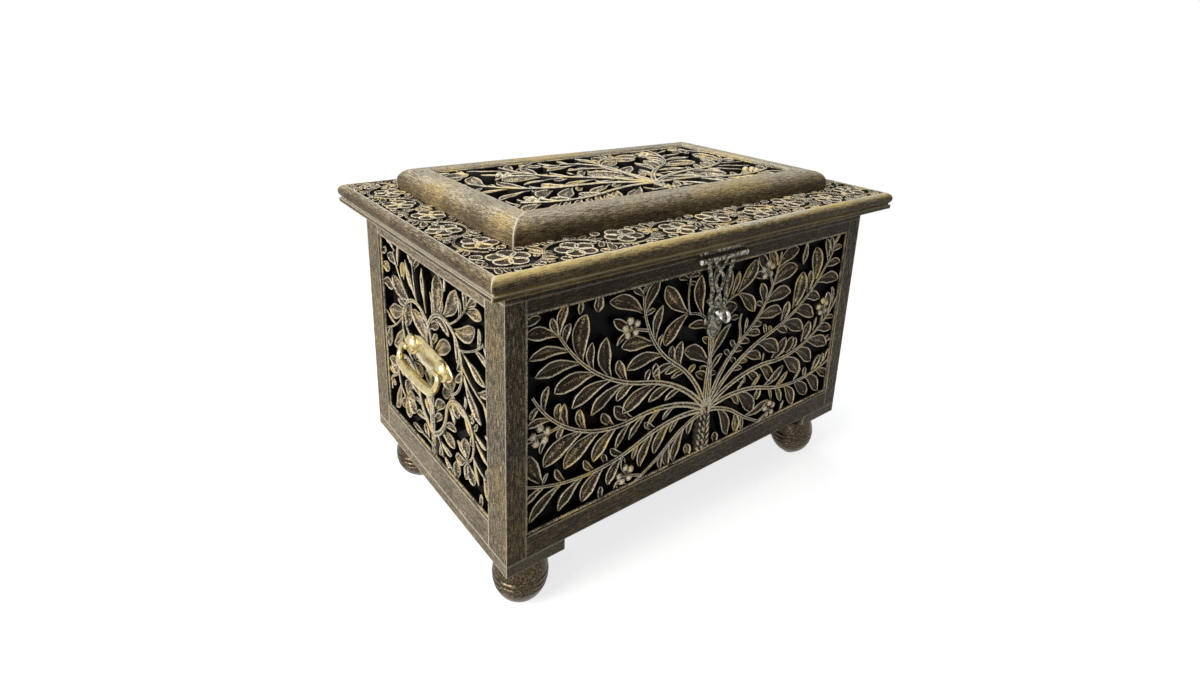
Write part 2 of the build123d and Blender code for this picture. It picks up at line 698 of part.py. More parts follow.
def bail(side):
    """A bent bar swinging in the posts, with a swelled grip; its two heels hold it off the plate."""
    start = (handle_posts - post_length) / 2 - bail_end
    low = bail_corner - bail_reach
    path = Plane.YZ * Polyline(
        (start, 0), (bail_half_width - bail_shoulder, 0),
        (bail_half_width, -bail_shoulder), (bail_half_width, low),
        (bail_half_width - 0.3 * bail_corner, low - 0.7 * bail_corner),
        (bail_half_width - bail_corner, -bail_reach), (0, -bail_reach))
    section = Plane(origin=(0, start, 0), z_dir=(0, 1, 0)) * RegularPolygon(bail_radius, 8)
    half = sweep(section, path=path, transition=Transition.RIGHT)
    bar = half + mirror(half, about=Plane.XZ)
    bar += rod((0, -grip_length / 2, -bail_reach), (0, 1, 0), grip_radius, grip_length)
    bar = Pos(side * bail_axis, case_middle, handle_height) * Rotation(0, -side * bail_lean, 0) * bar
    plate = side * (case_width / 2 - panel_recess + handle_plate_thickness + heel_play)
    for y in (-bail_half_width, bail_half_width):
        middle = case_middle + y
        bar += slab(plate, side * bail_axis, middle - heel_size / 2, middle + heel_size / 2,
                    handle_height - heel_drop, handle_height - heel_drop + heel_size)
    return bar


def build_handles():
    return {
        "left_handle_plate": handle_plate(-1),
        "right_handle_plate": handle_plate(1),
        "left_bail": bail(-1),
        "right_bail": bail(1),
    }


os.makedirs("parts", exist_ok=True)
groups = [build_case(), build_walls(), build_base(), build_lid()]
groups += [build_hinges(), build_hasp(), build_handles()]
for group in groups:
    for name, solid in group.items():
        export_step(solid, f"parts/{name}.step")
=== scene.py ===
# %% [markdown]
# # A footed keepsake box in carved, pierced and gilded board
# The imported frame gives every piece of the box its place. Here the carving gets its relief, the boards
# get their brushed bronze finish, and the brass gets its castings. All drawing is done in millimetres
# and turned into metres when a mesh is made.

# %% Load the frame
import bpy
import bmesh
import random
from math import acos, atan2, cos, degrees, hypot, pi, radians, sin
from mathutils import Matrix, Vector


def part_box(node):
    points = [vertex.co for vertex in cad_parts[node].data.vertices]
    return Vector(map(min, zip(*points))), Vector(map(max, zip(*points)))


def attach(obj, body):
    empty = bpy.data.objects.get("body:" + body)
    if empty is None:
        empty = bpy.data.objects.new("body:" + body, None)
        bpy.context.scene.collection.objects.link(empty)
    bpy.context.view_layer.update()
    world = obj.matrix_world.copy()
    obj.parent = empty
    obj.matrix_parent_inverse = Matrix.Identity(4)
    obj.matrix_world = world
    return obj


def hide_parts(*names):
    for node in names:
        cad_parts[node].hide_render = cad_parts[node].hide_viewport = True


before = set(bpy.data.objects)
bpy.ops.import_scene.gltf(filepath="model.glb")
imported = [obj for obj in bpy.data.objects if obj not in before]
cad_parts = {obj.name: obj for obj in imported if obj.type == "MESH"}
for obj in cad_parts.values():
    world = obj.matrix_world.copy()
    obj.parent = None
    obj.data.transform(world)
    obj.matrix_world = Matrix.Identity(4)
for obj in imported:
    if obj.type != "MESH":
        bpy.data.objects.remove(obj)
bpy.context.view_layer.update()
MM = 0.001
X, Y, Z = Vector((1, 0, 0)), Vector((0, 1, 0)), Vector((0, 0, 1))


def node_box(name):
    """Lowest and highest corner of a CAD piece, in millimetres."""
    low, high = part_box(name)
    return [c / MM for c in low], [c / MM for c in high]


# %% [markdown]
# ## Camera
# The camera stands in front of the box, to its left and a little above it, close enough for strong
# perspective. The lens is shifted a little, as when a picture is cropped off centre.

# %% Camera
AZIMUTH, ELEVATION, ROLL = radians(-39.08), radians(16.85), radians(2.34)
TARGET, DISTANCE = Vector((-0.0100, 0.0035, 0.2652)), 0.6750
LENS, SENSOR = 20.54, 36.0
SHIFT_X, SHIFT_Y = -0.0124, -0.0884
NEAREST = 0.01

back = Vector((sin(AZIMUTH) * cos(ELEVATION), -cos(AZIMUTH) * cos(ELEVATION), sin(ELEVATION)))
across = (-back).cross(Z).normalized()
upward = across.cross(-back)
right = across * cos(ROLL) + upward * sin(ROLL)
above = upward * cos(ROLL) - across * sin(ROLL)
lens = bpy.data.cameras.new("camera")
lens.sensor_width, lens.lens = SENSOR, LENS
lens.shift_x, lens.shift_y = SHIFT_X, SHIFT_Y
lens.clip_start = NEAREST
camera = bpy.data.objects.new("camera", lens)
facing = Matrix((right, above, back)).transposed().to_4x4()
camera.matrix_world = Matrix.Translation(TARGET + back * DISTANCE) @ facing
bpy.context.collection.objects.link(camera)
bpy.context.scene.camera = camera
print("camera at", [round(c, 3) for c in camera.matrix_world.translation])

# %% [markdown]
# ## Shader helpers
# One small function adds a node, and another opens a node group with named sockets. The rest name what
# the finishes do most: stretch a range, mix two colours, add up weighted values, read a noise.

# %% Node helpers
def feed(tree, socket, value):
    """Links an output to an input socket, or sets a plain value on it."""
    if isinstance(value, bpy.types.NodeSocket):
        tree.links.new(value, socket)
    else:
        socket.default_value = value


def add(tree, kind, inputs=(), **settings):
    """A new node; inputs are (socket, value or output socket) pairs."""
    node = tree.nodes.new(kind)
    for key, value in settings.items():
        setattr(node, key, value)
    for key, value in inputs:
        feed(tree, node.inputs[key], value)
    return node


def maths(tree, operation, *inputs, clamp=False):
    """A sum, product or other operation on up to three values."""
    return add(tree, "ShaderNodeMath", enumerate(inputs), operation=operation, use_clamp=clamp).outputs[0]


def total(tree, base, *shares, clamp=False):
    """The base plus each value times its weight; shares are (value, weight) pairs."""
    for i, (value, weight) in enumerate(shares):
        last = i == len(shares) - 1
        base = maths(tree, "MULTIPLY_ADD", value, weight, base, clamp=clamp and last)
    return base


def spread(tree, value, low, high):
    """The value's run from low to high stretched over 0 to 1, with soft ends."""
    node = add(tree, "ShaderNodeMapRange", [("Value", value), ("From Min", low), ("From Max", high)],
               interpolation_type="SMOOTHSTEP")
    return node.outputs["Result"]


def mix_colour(tree, factor, first, second):
    """The first colour where the factor is 0 and the second where it is 1."""
    node = add(tree, "ShaderNodeMix", [("Factor", factor)], data_type="RGBA")
    for socket, colour in ((node.inputs[6], first), (node.inputs[7], second)):
        feed(tree, socket, (*colour, 1) if isinstance(colour, tuple) else colour)
    return node.outputs[2]


def noise(tree, vector, scale, detail=3.0, roughness=0.5):
    """Clouds between 0 and 1; a larger scale makes them finer."""
    node = add(tree, "ShaderNodeTexNoise", [("Vector", vector), ("Scale", scale), ("Detail", detail),
                                            ("Roughness", roughness)])
    return node.outputs["Fac"]


def stretched(tree, vector, scale):
    """A place with each of its three numbers scaled, which draws a noise out along the smallest."""
    return add(tree, "ShaderNodeVectorMath", [(0, vector), (1, scale)], operation="MULTIPLY").outputs[0]


def open_group(name, inputs, outputs):
    """A node group with the named sockets; gives its tree, its inputs and its output node."""
    tree = bpy.data.node_groups.new(name, "ShaderNodeTree")
    for sockets, way in ((inputs, "INPUT"), (outputs, "OUTPUT")):
        for socket, kind in sockets:
            tree.interface.new_socket(socket, in_out=way, socket_type="NodeSocket" + kind)
    return tree, tree.nodes.new("NodeGroupInput").outputs, tree.nodes.new("NodeGroupOutput").inputs


def use(tree, name, inputs=()):
    """The outputs of a node that runs one of the groups."""
    return add(tree, "ShaderNodeGroup", inputs, node_tree=bpy.data.node_groups[name]).outputs


def shown(tree):
    """1 for rays that show a picture of the surroundings: straight, mirrored or seen through glass."""
    path = add(tree, "ShaderNodeLightPath").outputs
    mirrored = maths(tree, "MAXIMUM", path["Is Camera Ray"], path["Is Glossy Ray"])
    return maths(tree, "MAXIMUM", mirrored, path["Is Transmission Ray"])


def start_material(name):
    """An empty material, its tree and the place on the object that its noises read."""
    material = bpy.data.materials.new(name)
    material.use_nodes = True
    tree = material.node_tree
    tree.nodes.clear()
    return material, tree, add(tree, "ShaderNodeTexCoord").outputs["Object"]


def finish_material(tree, colour, roughness, bump, metallic=0.0, specular=0.5):
    """The finish's shader; bump is a height, its strength and its depth in metres."""
    bumps = add(tree, "ShaderNodeBump", zip(("Height", "Strength", "Distance"), bump))
    shader = add(tree, "ShaderNodeBsdfPrincipled", [
        ("Base Color", colour), ("Roughness", roughness), ("Metallic", metallic),
        ("Specular IOR Level", specular), ("Normal", bumps.outputs[0])])
    add(tree, "ShaderNodeOutputMaterial", [("Surface", shader.outputs[0])])


# %% [markdown]
# ## Finishes as node groups
# The box is stained almost black, then gold wax is dragged over it with a nearly dry brush. The wax
# catches on edges and high places and lies in streaks along each board.

# %% Brushed streaks
# Scale and weight of each noise.
COARSE, FINE, PORES = (500.0, 0.15), (1500.0, 0.45), (1400.0, 0.40)

tree, given, result = open_group(
    "Brushed streaks", [("Vector", "Vector"), ("Stretch", "Vector")],
    [("Streaks", "Float"), ("Patches", "Float")])
drawn_out = stretched(tree, given["Vector"], given["Stretch"])
layers = [(noise(tree, vector, scale, 2.0, 0.6), weight) for vector, (scale, weight) in (
    (drawn_out, COARSE), (drawn_out, FINE), (given["Vector"], PORES))]
streaks = total(tree, 0.0, *layers)
tree.links.new(spread(tree, streaks, 0.40, 0.62), result["Streaks"])
tree.links.new(noise(tree, given["Vector"], 16.0, 3.0, 0.55), result["Patches"])

# %% Worn edges
tree, given, result = open_group("Worn edges", [("Width", "Float")], [("Edge", "Float")])
rounded = add(tree, "ShaderNodeBevel", [("Radius", given["Width"])], samples=4).outputs[0]
flat = add(tree, "ShaderNodeNewGeometry").outputs["Normal"]
likeness = add(tree, "ShaderNodeVectorMath", [(0, rounded), (1, flat)], operation="DOT_PRODUCT")
bend = maths(tree, "SUBTRACT", 1.0, likeness.outputs["Value"])
tree.links.new(spread(tree, bend, 0.01, 0.16), result["Edge"])

# %% Gold wax
STAIN = (0.022, 0.014, 0.007)
BRONZE = (0.120, 0.090, 0.052)
GOLD = (0.550, 0.415, 0.165)
CREAM = (0.620, 0.565, 0.435)

tree, given, result = open_group(
    "Gold wax", [("Wax", "Float"), ("Patches", "Float"), ("Tone", "Float")],
    [("Color", "Color"), ("Roughness", "Float"), ("Metallic", "Float")])
thin = mix_colour(tree, spread(tree, given["Wax"], 0.0, 0.50), STAIN, BRONZE)
thick = mix_colour(tree, spread(tree, given["Patches"], 0.42, 0.70), CREAM, GOLD)
full = mix_colour(tree, spread(tree, given["Wax"], 0.35, 1.0), thin, thick)
toned = add(tree, "ShaderNodeVectorMath", [(0, full), ("Scale", given["Tone"])], operation="SCALE").outputs[0]
tree.links.new(toned, result["Color"])
tree.links.new(total(tree, 0.54, (given["Wax"], -0.14)), result["Roughness"])
tree.links.new(maths(tree, "MULTIPLY", given["Wax"], 0.2), result["Metallic"])

# %% Materials of the boards
BOARD_EDGE, BOARD_TONE = 0.0022, 0.95
UNEVEN, EDGE_GREY = 0.5, 0.3
BRUSHED = 0.11
ALONG_X, ALONG_Y, ALONG_Z = (BRUSHED, 1.0, 1.0), (1.0, BRUSHED, 1.0), (1.0, 1.0, BRUSHED)


def board_material(name, stretch, cover, contrast, warmth, worn, rise):
    """Stained board with wax brushed along one direction; cover is how much wax lies on its faces, worn
    how much more its edges hold, and rise how much lighter and creamier its tops are painted, a painted top
    light."""
    material, tree, place = start_material(name)
    brushed = use(tree, "Brushed streaks", [("Vector", place), ("Stretch", stretch)])
    edge = use(tree, "Worn edges", [("Width", BOARD_EDGE)])["Edge"]
    normal = add(tree, "ShaderNodeNewGeometry").outputs["Normal"]
    # Painted top light: where the board faces up, the rise adds wax and takes gold away, so tops are painted
    # lighter and creamier.
    upward = spread(tree, add(tree, "ShaderNodeSeparateXYZ", [(0, normal)]).outputs["Z"], 0.0, 1.0)
    wax = total(tree, cover - contrast / 2 - UNEVEN / 2, (brushed["Streaks"], contrast), (upward, rise),
                (brushed["Patches"], UNEVEN), (edge, worn), clamp=True)
    golden = total(tree, warmth, (brushed["Patches"], 1.0), (edge, -EDGE_GREY), (upward, -rise))
    coat = use(tree, "Gold wax", [("Wax", wax), ("Patches", golden), ("Tone", BOARD_TONE)])
    finish_material(tree, coat["Color"], coat["Roughness"], (brushed["Streaks"], 0.25, 0.0003), specular=0.10)
    return material


# Name, brushing, cover, contrast, warmth, worn edges, rise (painted top light).
# Besides their brushing, the x copies for front and back and the y copies for the ends differ in cover and
# warmth to stand in for light: the ends are painted greyer, a painted sheen; the plain x boards are painted
# darker, a painted shade; and the nosing's ends are painted darker too, painted shade.
boards = {name: board_material(name, *values) for name, *values in (
    ("bronze_board_x", ALONG_X, 0.27, 0.72, 0.20, 0.8, 0.0),
    ("bronze_board_y", ALONG_Y, 0.47, 0.50, 0.0, 0.8, 0.0),
    ("bronze_board_z", ALONG_Z, 0.38, 0.80, 0.08, 0.8, 0.0),
    ("nosing_board_x", ALONG_X, 0.42, 0.62, 0.62, 0.8, 0.50),
    ("nosing_board_y", ALONG_Y, 0.25, 0.48, 0.18, 0.9, 0.22),
    ("raised_board_x", ALONG_X, 0.38, 0.50, 0.26, 0.6, 0.22),
    ("raised_board_y", ALONG_Y, 0.41, 0.42, 0.22, 0.6, 0.22),
)}

# %% Carved work
SCRATCHED, PATCHED = 2.2, 1.0
WALL_BLACK, WALL_LIGHTER, WALL_GLOSS = 0.008, 0.13, 3.3


def carved_material(name, cover, ground, shine, tone):
    """Relief whose raised rims carry the wax; the sawn walls between stay black, and shine is how
    glossy they are."""
    material, tree, place = start_material(name)
    ridge = add(tree, "ShaderNodeAttribute", attribute_name="ridge").outputs["Fac"]
    wall = add(tree, "ShaderNodeAttribute", attribute_name="wall").outputs["Fac"]
    scratches = noise(tree, place, 900.0, 4.0, 0.75)
    patches = noise(tree, place, 55.0, 3.0, 0.6)
    level = total(tree, ground - (SCRATCHED + PATCHED) / 2, (ridge, cover), (scratches, SCRATCHED),
                  (patches, PATCHED))
    wax = maths(tree, "MULTIPLY", spread(tree, level, 0.18, 0.90), maths(tree, "SUBTRACT", 1.0, wall))
    coat = use(tree, "Gold wax", [("Wax", wax), ("Patches", patches), ("Tone", tone)])
    black = (WALL_BLACK + WALL_LIGHTER * shine,) * 3
    colour = mix_colour(tree, wall, coat["Color"], black)
    dull = total(tree, coat["Roughness"], (wall, -shine))
    gloss = total(tree, coat["Metallic"], (wall, WALL_GLOSS * shine), clamp=True)
    finish_material(tree, colour, dull, (scratches, 0.5, 0.0004), gloss, 0.10)
    return material


# Name, cover of the rims, cover of the hollows, shine of the walls, tone.
# The front copy's higher tone and rim cover are a painted highlight, which makes the gold of the front carving
# brighter than that of the ends.
carved_front_painted_highlight = carved_material("carved_front_painted_highlight", 1.02, 0.0, 0.30, 1.6)
carved_side = carved_material("carved_side", 0.70, 0.21, 0.30, 0.96)
carved_lid = carved_material("carved_lid", 0.74, 0.20, 0.0, 1.0)
carved_border = carved_material("carved_border", 0.94, -0.17, 0.0, 1.16)

# %% Black lacquer behind the carving
def lacquer_material():
    material, tree, place = start_material("black_lacquer")
    dust = noise(tree, place, 60.0, 4.0, 0.6)
    colour = mix_colour(tree, spread(tree, dust, 0.5, 0.8), (0.006, 0.005, 0.005), (0.022, 0.017, 0.012))
    grain = noise(tree, place, 500.0, 2.0)
    finish_material(tree, colour, total(tree, 0.45, (dust, 0.3)), (grain, 0.1, 0.0002), specular=0.08)
    return material


lacquer = lacquer_material()

# %% Plain wood at the back and inside
def plain_material():
    material, tree, place = start_material("plain_wood")
    brushed = use(tree, "Brushed streaks", [("Vector", place), ("Stretch", ALONG_X)])
    rings = noise(tree, stretched(tree, place, (0.3, 4.0, 4.0)), 22.0, 3.0, 0.55)
    colour = mix_colour(tree, spread(tree, rings, 0.35, 0.65), (0.030, 0.018, 0.010), (0.075, 0.045, 0.024))
    dry = maths(tree, "MULTIPLY", brushed["Streaks"], 0.35)
    colour = mix_colour(tree, dry, colour, (0.11, 0.075, 0.045))
    finish_material(tree, colour, 0.55, (brushed["Streaks"], 0.2, 0.0003), specular=0.12)
    return material


plain = plain_material()

# %% Brass
BRASS_EDGE = 0.0006


def brass_material(name, clean, tarnish, rough, spots, patch):
    """Cast brass, bright where it is rubbed and tarnished in patches."""
    material, tree, place = start_material(name)
    cloud = noise(tree, place, patch, 4.0, 0.65)
    grit = noise(tree, place, 900.0, 3.0, 0.6)
    edge = use(tree, "Worn edges", [("Width", BRASS_EDGE)])["Edge"]
    dirt = spread(tree, total(tree, cloud, (grit, 0.35), (edge, -0.3)), 0.78 - spots, 1.02 - spots)
    finish_material(tree, mix_colour(tree, dirt, clean, tarnish), total(tree, rough, (dirt, 0.3)),
                    (cloud, 0.35, 0.0005), total(tree, 1.0, (dirt, -0.5)))
    return material


# Name, clean colour, tarnished colour, roughness, share of spots, scale of the patches.
polished_brass = brass_material("polished_brass", (0.64, 0.54, 0.28), (0.24, 0.18, 0.09), 0.22, 0.14, 160.0)
aged_brass = brass_material("aged_brass", (0.44, 0.41, 0.32), (0.034, 0.028, 0.020), 0.28, 0.26, 420.0)
hinge_brass = brass_material("hinge_brass", (0.32, 0.27, 0.17), (0.10, 0.08, 0.05), 0.34, 0.14, 90.0)
bright_ring = brass_material("bright_ring", (0.56, 0.56, 0.51), (0.16, 0.14, 0.11), 0.32, 0.10, 300.0)

# %% Lacquered bronze of the feet
FOOT_EDGE = 0.0009


def foot_material():
    """Dark glossy finish with gold rubbed thinly over it, and fine rings left by the lathe."""
    material, tree, place = start_material("turned_bronze")
    turned = noise(tree, stretched(tree, place, (0.1, 0.1, 1.0)), 900.0, 2.0, 0.5)
    rubbed = noise(tree, place, 600.0, 4.0, 0.7)
    edge = use(tree, "Worn edges", [("Width", FOOT_EDGE)])["Edge"]
    wax = total(tree, spread(tree, rubbed, 0.42, 0.72), (edge, 0.8), clamp=True)
    colour = mix_colour(tree, maths(tree, "MULTIPLY", wax, 0.6), (0.028, 0.021, 0.013), (0.30, 0.22, 0.12))
    finish_material(tree, colour, total(tree, 0.28, (rubbed, 0.10)), (turned, 0.05, 0.0003), 0.8, 0.3)
    return material


turned_bronze = foot_material()

# %% [markdown]
# ## Drawing the carved trees
# The panels are drawn by growing a tree into the opening: a trunk, boughs that fan out both ways,
# twigs, berries and leaves, each put only where nothing is in its way. The main stems and large leaves
# are laid out as on the sawn boards, and the carver's smaller leaves then fill what is left.

# %% Growing a tree
RIM = 2.6
RIB = 0.8
PROBE = 3.0
ROOT_REACH, ROOT_LENGTH = 16.0, 12.8
STEM_TIP = 2.6
LEAF_LENGTH, LEAF_SLIM = 44.0, 0.34
LEAF_FULLEST, LEAF_BLUNT = 1.7, 0.72
LARGE_LEAVES = [LEAF_LENGTH * share for share in (1.0, 0.86, 0.73, 0.61)]
SMALL_LEAVES = [28.0, 24.0, 20.0]
TWIG_LENGTHS = [52.0, 42.0, 34.0, 27.0]
PETAL_LENGTH, PETAL_SLIM = 20.0, 0.6
BERRY = 3.6
BERRY_RING = 2.6 * BERRY
STALK_LENGTH, STALK_WIDTH, STALK_REACH = 15.0, 3.4, 5.8
TWIG_WIDTH, TWIG_ROOM = 3.4, 3.6
SPRIG_WIDTH, SPRIG_CLEAR, SPRIG_GAP, SPRIG_REACH = 2.2, 8.0, 7.0, 9.0
BERRIES, BERRY_TURN = 5, 48
TRUNK_TAPER, LEFT_REACH = 0.7, 0.95
LARGE_GAP, TWIG_GAP, SMALL_GAP = 18.0, 9.0, 10.0
TWIG_TURN, TWIG_BEND = 42, 24
SPRIG_TURN, SPRIG_BEND = 14, 28
FILLER_TURN, FILLER_BEND = 16, 32
PETAL_TURNS = (0, -52, 52, -100, 100)
RIM_STEP, RIM_OUT = 6.0, 1.0


def along(start, run, share):
    """Place and heading part of the way along one circular run."""
    x, y, heading = start
    length, turn = run
    half = radians(turn) * share / 2
    chord = length * share * (sin(half) / half if half else 1)
    return x + chord * cos(heading + half), y + chord * sin(heading + half), heading + 2 * half


def stem_places(stem, step):
    """(x, y, heading, half width) at even steps along a stem, both ends included."""
    place, runs, root, tip = stem
    whole = sum(length for length, turn in runs)
    places = []
    gone = 0
    for run in runs:
        count = max(2, round(run[0] / step))
        for i in range(count):
            taper = (gone + run[0] * i / count) / whole
            places.append((*along(place, run, i / count), (root + (tip - root) * taper) / 2))
        gone += run[0]
        place = along(place, run, 1)
    return places + [(*place, tip / 2)]


def leaf_half(width, share):
    """Half the width of a spoon-shaped leaf: slender at its root, full and round near its tip."""
    return width / 2 * max(0.0, sin(pi * share**LEAF_FULLEST)) ** LEAF_BLUNT


def leaf_places(leaf, step):
    """(x, y, half width) at even steps along a leaf's bent midrib, as far as its tip."""
    x, y, heading, length, width, bend = leaf
    count = max(4, round(length / step))
    places = []
    for i in range(1, count):
        share = i / count
        px, py, turned = along((x, y, heading), (length, bend), share)
        places.append((px, py, leaf_half(width, share)))
    return places + [(*along((x, y, heading), (length, bend), 1)[:2], 0)]


def nearest(spots, x, y):
    """The places in order of their distance from x, y."""
    return sorted(spots, key=lambda spot: hypot(x - spot[0], y - spot[1]))


class Growth:
    """Foliage that fills an opening without running into itself."""

    def __init__(self, half_width, height):
        self.half_width = half_width
        self.height = height
        self.stems = []
        self.leaves = []
        self.berries = []
        self.taken = []

    def clear(self, x, y, radius, root, reach):
        """Room for a disc, leaving out what lies within reach of the place it grows from."""
        if abs(x) > self.half_width - radius or not radius < y < self.height - radius:
            return False
        return all(
            hypot(x - tx, y - ty) >= tr + radius + RIB or hypot(tx - root[0], ty - root[1]) <= reach
            for tx, ty, tr in self.taken
        )

    def fits(self, places, root, reach, beyond, margin=0.0):
        """Room along a line of places, leaving out those that aren't beyond a distance from its root."""
        return all(self.clear(x, y, half + margin, root, reach)
                   for x, y, *heading, half in places if hypot(x - root[0], y - root[1]) > beyond)

    def add_stem(self, start, runs, root, tip):
        stem = (start, runs, root, tip)
        self.stems.append(stem)
        self.taken += [(x, y, half) for x, y, heading, half in stem_places(stem, PROBE)]
        return stem

    def try_leaf(self, x, y, heading, bend, lengths, slim=LEAF_SLIM, reach=ROOT_REACH):
        """The longest leaf that fits, if any does, rooted across the stem at x, y."""
        x -= STEM_TIP * cos(heading)
        y -= STEM_TIP * sin(heading)
        for length in lengths:
            leaf = (x, y, heading, length, length * slim, bend)
            places = leaf_places(leaf, PROBE)
            if self.fits(places, (x, y), reach, 0.8 * reach):
                self.leaves.append(leaf)
                self.taken += places
                return True
        return False

    def try_berries(self, x, y, heading):
        """Five berries round the end of a short stalk."""
        bx, by, turned = along((x, y, heading), (STALK_LENGTH + BERRY, 0), 1)
        if not self.clear(bx, by, BERRY_RING, (x, y), STALK_REACH):
            return False
        self.add_stem((x, y, heading), [(STALK_LENGTH, 0)], STALK_WIDTH, STEM_TIP)
        self.berries.append((bx, by))
        self.taken.append((bx, by, BERRY_RING))
        return True

    def berries_along(self, stem):
        """Berries on the outer part of a stem, at the first place with room for them."""
        places = stem_places(stem, PROBE)
        for x, y, heading, half in reversed(places[:int(0.8 * len(places))]):
            for side in (1, -1):
                if self.try_berries(x, y, heading + side * radians(BERRY_TURN)):
                    return

    def try_twig(self, x, y, heading, bend, lengths):
        """The longest S-shaped side stem with room for leaves on both sides of it."""
        for length in lengths:
            runs = [(length * 0.6, bend), (length * 0.5, -1.6 * bend)]
            places = stem_places(((x, y, heading), runs, TWIG_WIDTH, STEM_TIP), PROBE)
            if self.fits(places, (x, y), ROOT_LENGTH, ROOT_LENGTH, TWIG_ROOM):
                return self.add_stem((x, y, heading), runs, TWIG_WIDTH, STEM_TIP)
        return None

    def twigs_along(self, stem, gap, lengths):
        """Side stems wherever a stem runs past open ground."""
        for i, (x, y, heading, half) in enumerate(stem_places(stem, gap)[1:]):
            first = 1 if i % 2 else -1
            for side in (first, -first):
                self.try_twig(x, y, heading + side * radians(TWIG_TURN), side * TWIG_BEND, lengths)

    def add_blossom(self, x, y, heading):
        """Petals spread like a fan at the end of a stem."""
        for turn in PETAL_TURNS:
            petal = (x, y, heading + radians(turn), PETAL_LENGTH, PETAL_LENGTH * PETAL_SLIM, 0)
            self.leaves.append(petal)
            self.taken += leaf_places(petal, PROBE)

    def leaves_along(self, stem, gap, lengths, turn=30.0, bend=40.0, slim=LEAF_SLIM, reach=ROOT_REACH):
        """Leaves in pairs along a stem and one at its tip."""
        places = stem_places(stem, gap)
        for i, (x, y, heading, half) in enumerate(places[1:]):
            first = 1 if i % 2 else -1
            for side in (first, -first):
                self.try_leaf(x, y, heading + side * radians(turn), side * bend, lengths, slim, reach)
        self.try_leaf(x, y, heading, -bend / 2, lengths, slim, reach)

    def open_ground(self, step, least):
        """(room, x, y) of the places that have more than the least room round them, widest first."""
        gaps = []
        for j in range(1, int(self.height / step)):
            for i in range(1, int(2 * self.half_width / step)):
                x, y = -self.half_width + i * step, j * step
                room = min(self.half_width - abs(x), y, self.height - y)
                room = min([room] + [hypot(x - tx, y - ty) - tr for tx, ty, tr in self.taken])
                if room > least:
                    gaps.append((room, x, y))
        return sorted(gaps, reverse=True)

    def sprigs(self, step, least, lengths):
        """A slender stalk with small leaves into each wide gap, out of the nearest stem it can reach."""
        spots = [place for stem in self.stems for place in stem_places(stem, PROBE)]
        for room, x, y in self.open_ground(step, least):
            if not self.clear(x, y, 0.7 * least, (0, 0), 0):
                continue
            for px, py, heading, half in nearest(spots, x, y)[::3]:
                aim = atan2(y - py, x - px)
                side = 1 if sin(aim - heading) > 0 else -1
                start = (px, py, aim - side * radians(SPRIG_TURN))
                runs = [(hypot(x - px, y - py) + 0.5 * room, side * SPRIG_BEND)]
                places = stem_places((start, runs, SPRIG_WIDTH, SPRIG_WIDTH), PROBE)
                if self.fits(places, (px, py), SPRIG_CLEAR, SPRIG_CLEAR):
                    stalk = self.add_stem(start, runs, SPRIG_WIDTH, SPRIG_WIDTH)
                    self.leaves_along(stalk, SPRIG_GAP, lengths, reach=SPRIG_REACH)
                    break

    def rim_places(self):
        """(x, y, heading, half width) round the opening, where a leaf may grow out of the frame."""
        places = []
        side = self.half_width + RIM_OUT
        for i in range(int(2 * self.half_width / RIM_STEP)):
            places += [(RIM_STEP * i - self.half_width, y, 0.0, 0.0) for y in (-RIM_OUT, self.height + RIM_OUT)]
        for i in range(int(self.height / RIM_STEP)):
            places += [(x, RIM_STEP * i, pi / 2, 0.0) for x in (-side, side)]
        return places

    def fill_gaps(self, step, least, slim, longest, reach=9.0, spots=None):
        """Small leaves out of the nearest stem wherever a wide gap is left."""
        spots = spots or [place for stem in self.stems for place in stem_places(stem, PROBE)]
        for room, x, y in self.open_ground(step, least):
            for px, py, heading, half in nearest(spots, x, y)[:40:4]:
                length = hypot(x - px, y - py) + room * 0.75 + STEM_TIP
                aim = atan2(y - py, x - px)
                side = 1 if sin(aim - heading) > 0 else -1
                turned = aim - side * radians(FILLER_TURN)
                lengths = [length, length * 0.85]
                if length < longest and self.try_leaf(
                        px, py, turned, side * FILLER_BEND, lengths, slim, reach):
                    break


def grow_tree(half_width, height, fork, trunk, boughs, blossoms=False):
    """A tree of life: a trunk, boughs fanning out both ways, leaves, and berries or blossoms."""
    tree = Growth(half_width, height)
    tree.add_stem((0, 0, pi / 2), [(fork + trunk / 4, 0)], trunk, trunk * TRUNK_TAPER)
    grown = []
    for side, size in ((1, half_width), (-1, half_width * LEFT_REACH)):
        for i, (heading, length, turn, length2, turn2, width) in enumerate(boughs):
            aim = radians(heading) if side > 0 else pi - radians(heading)
            runs = [(length * size, side * turn), (length2 * size, side * turn2)]
            start = (side * trunk / 8, fork - i * trunk / 12, aim)
            grown.append(tree.add_stem(start, runs, width, STEM_TIP))
    for i, bough in enumerate(grown):
        if blossoms:
            tree.add_blossom(*stem_places(bough, PROBE)[-1][:3])
        elif i % 2:
            tree.berries_along(bough)
    for bough in grown:
        tree.leaves_along(bough, LARGE_GAP, LARGE_LEAVES)
    for stem in grown:
        tree.twigs_along(stem, TWIG_GAP, TWIG_LENGTHS)
    for i, twig in enumerate(tree.stems[1 + len(grown):]):
        if i % 3 == 0:
            tree.berries_along(twig)
    for stem in tree.stems[1:]:
        tree.leaves_along(stem, SMALL_GAP, SMALL_LEAVES)
    tree.sprigs(step=5.0, least=8.0, lengths=SMALL_LEAVES)
    tree.fill_gaps(step=3.5, least=4.2, slim=0.42, longest=40.0)
    tree.fill_gaps(step=4.0, least=5.5, slim=0.46, longest=32.0, spots=tree.rim_places())
    return tree


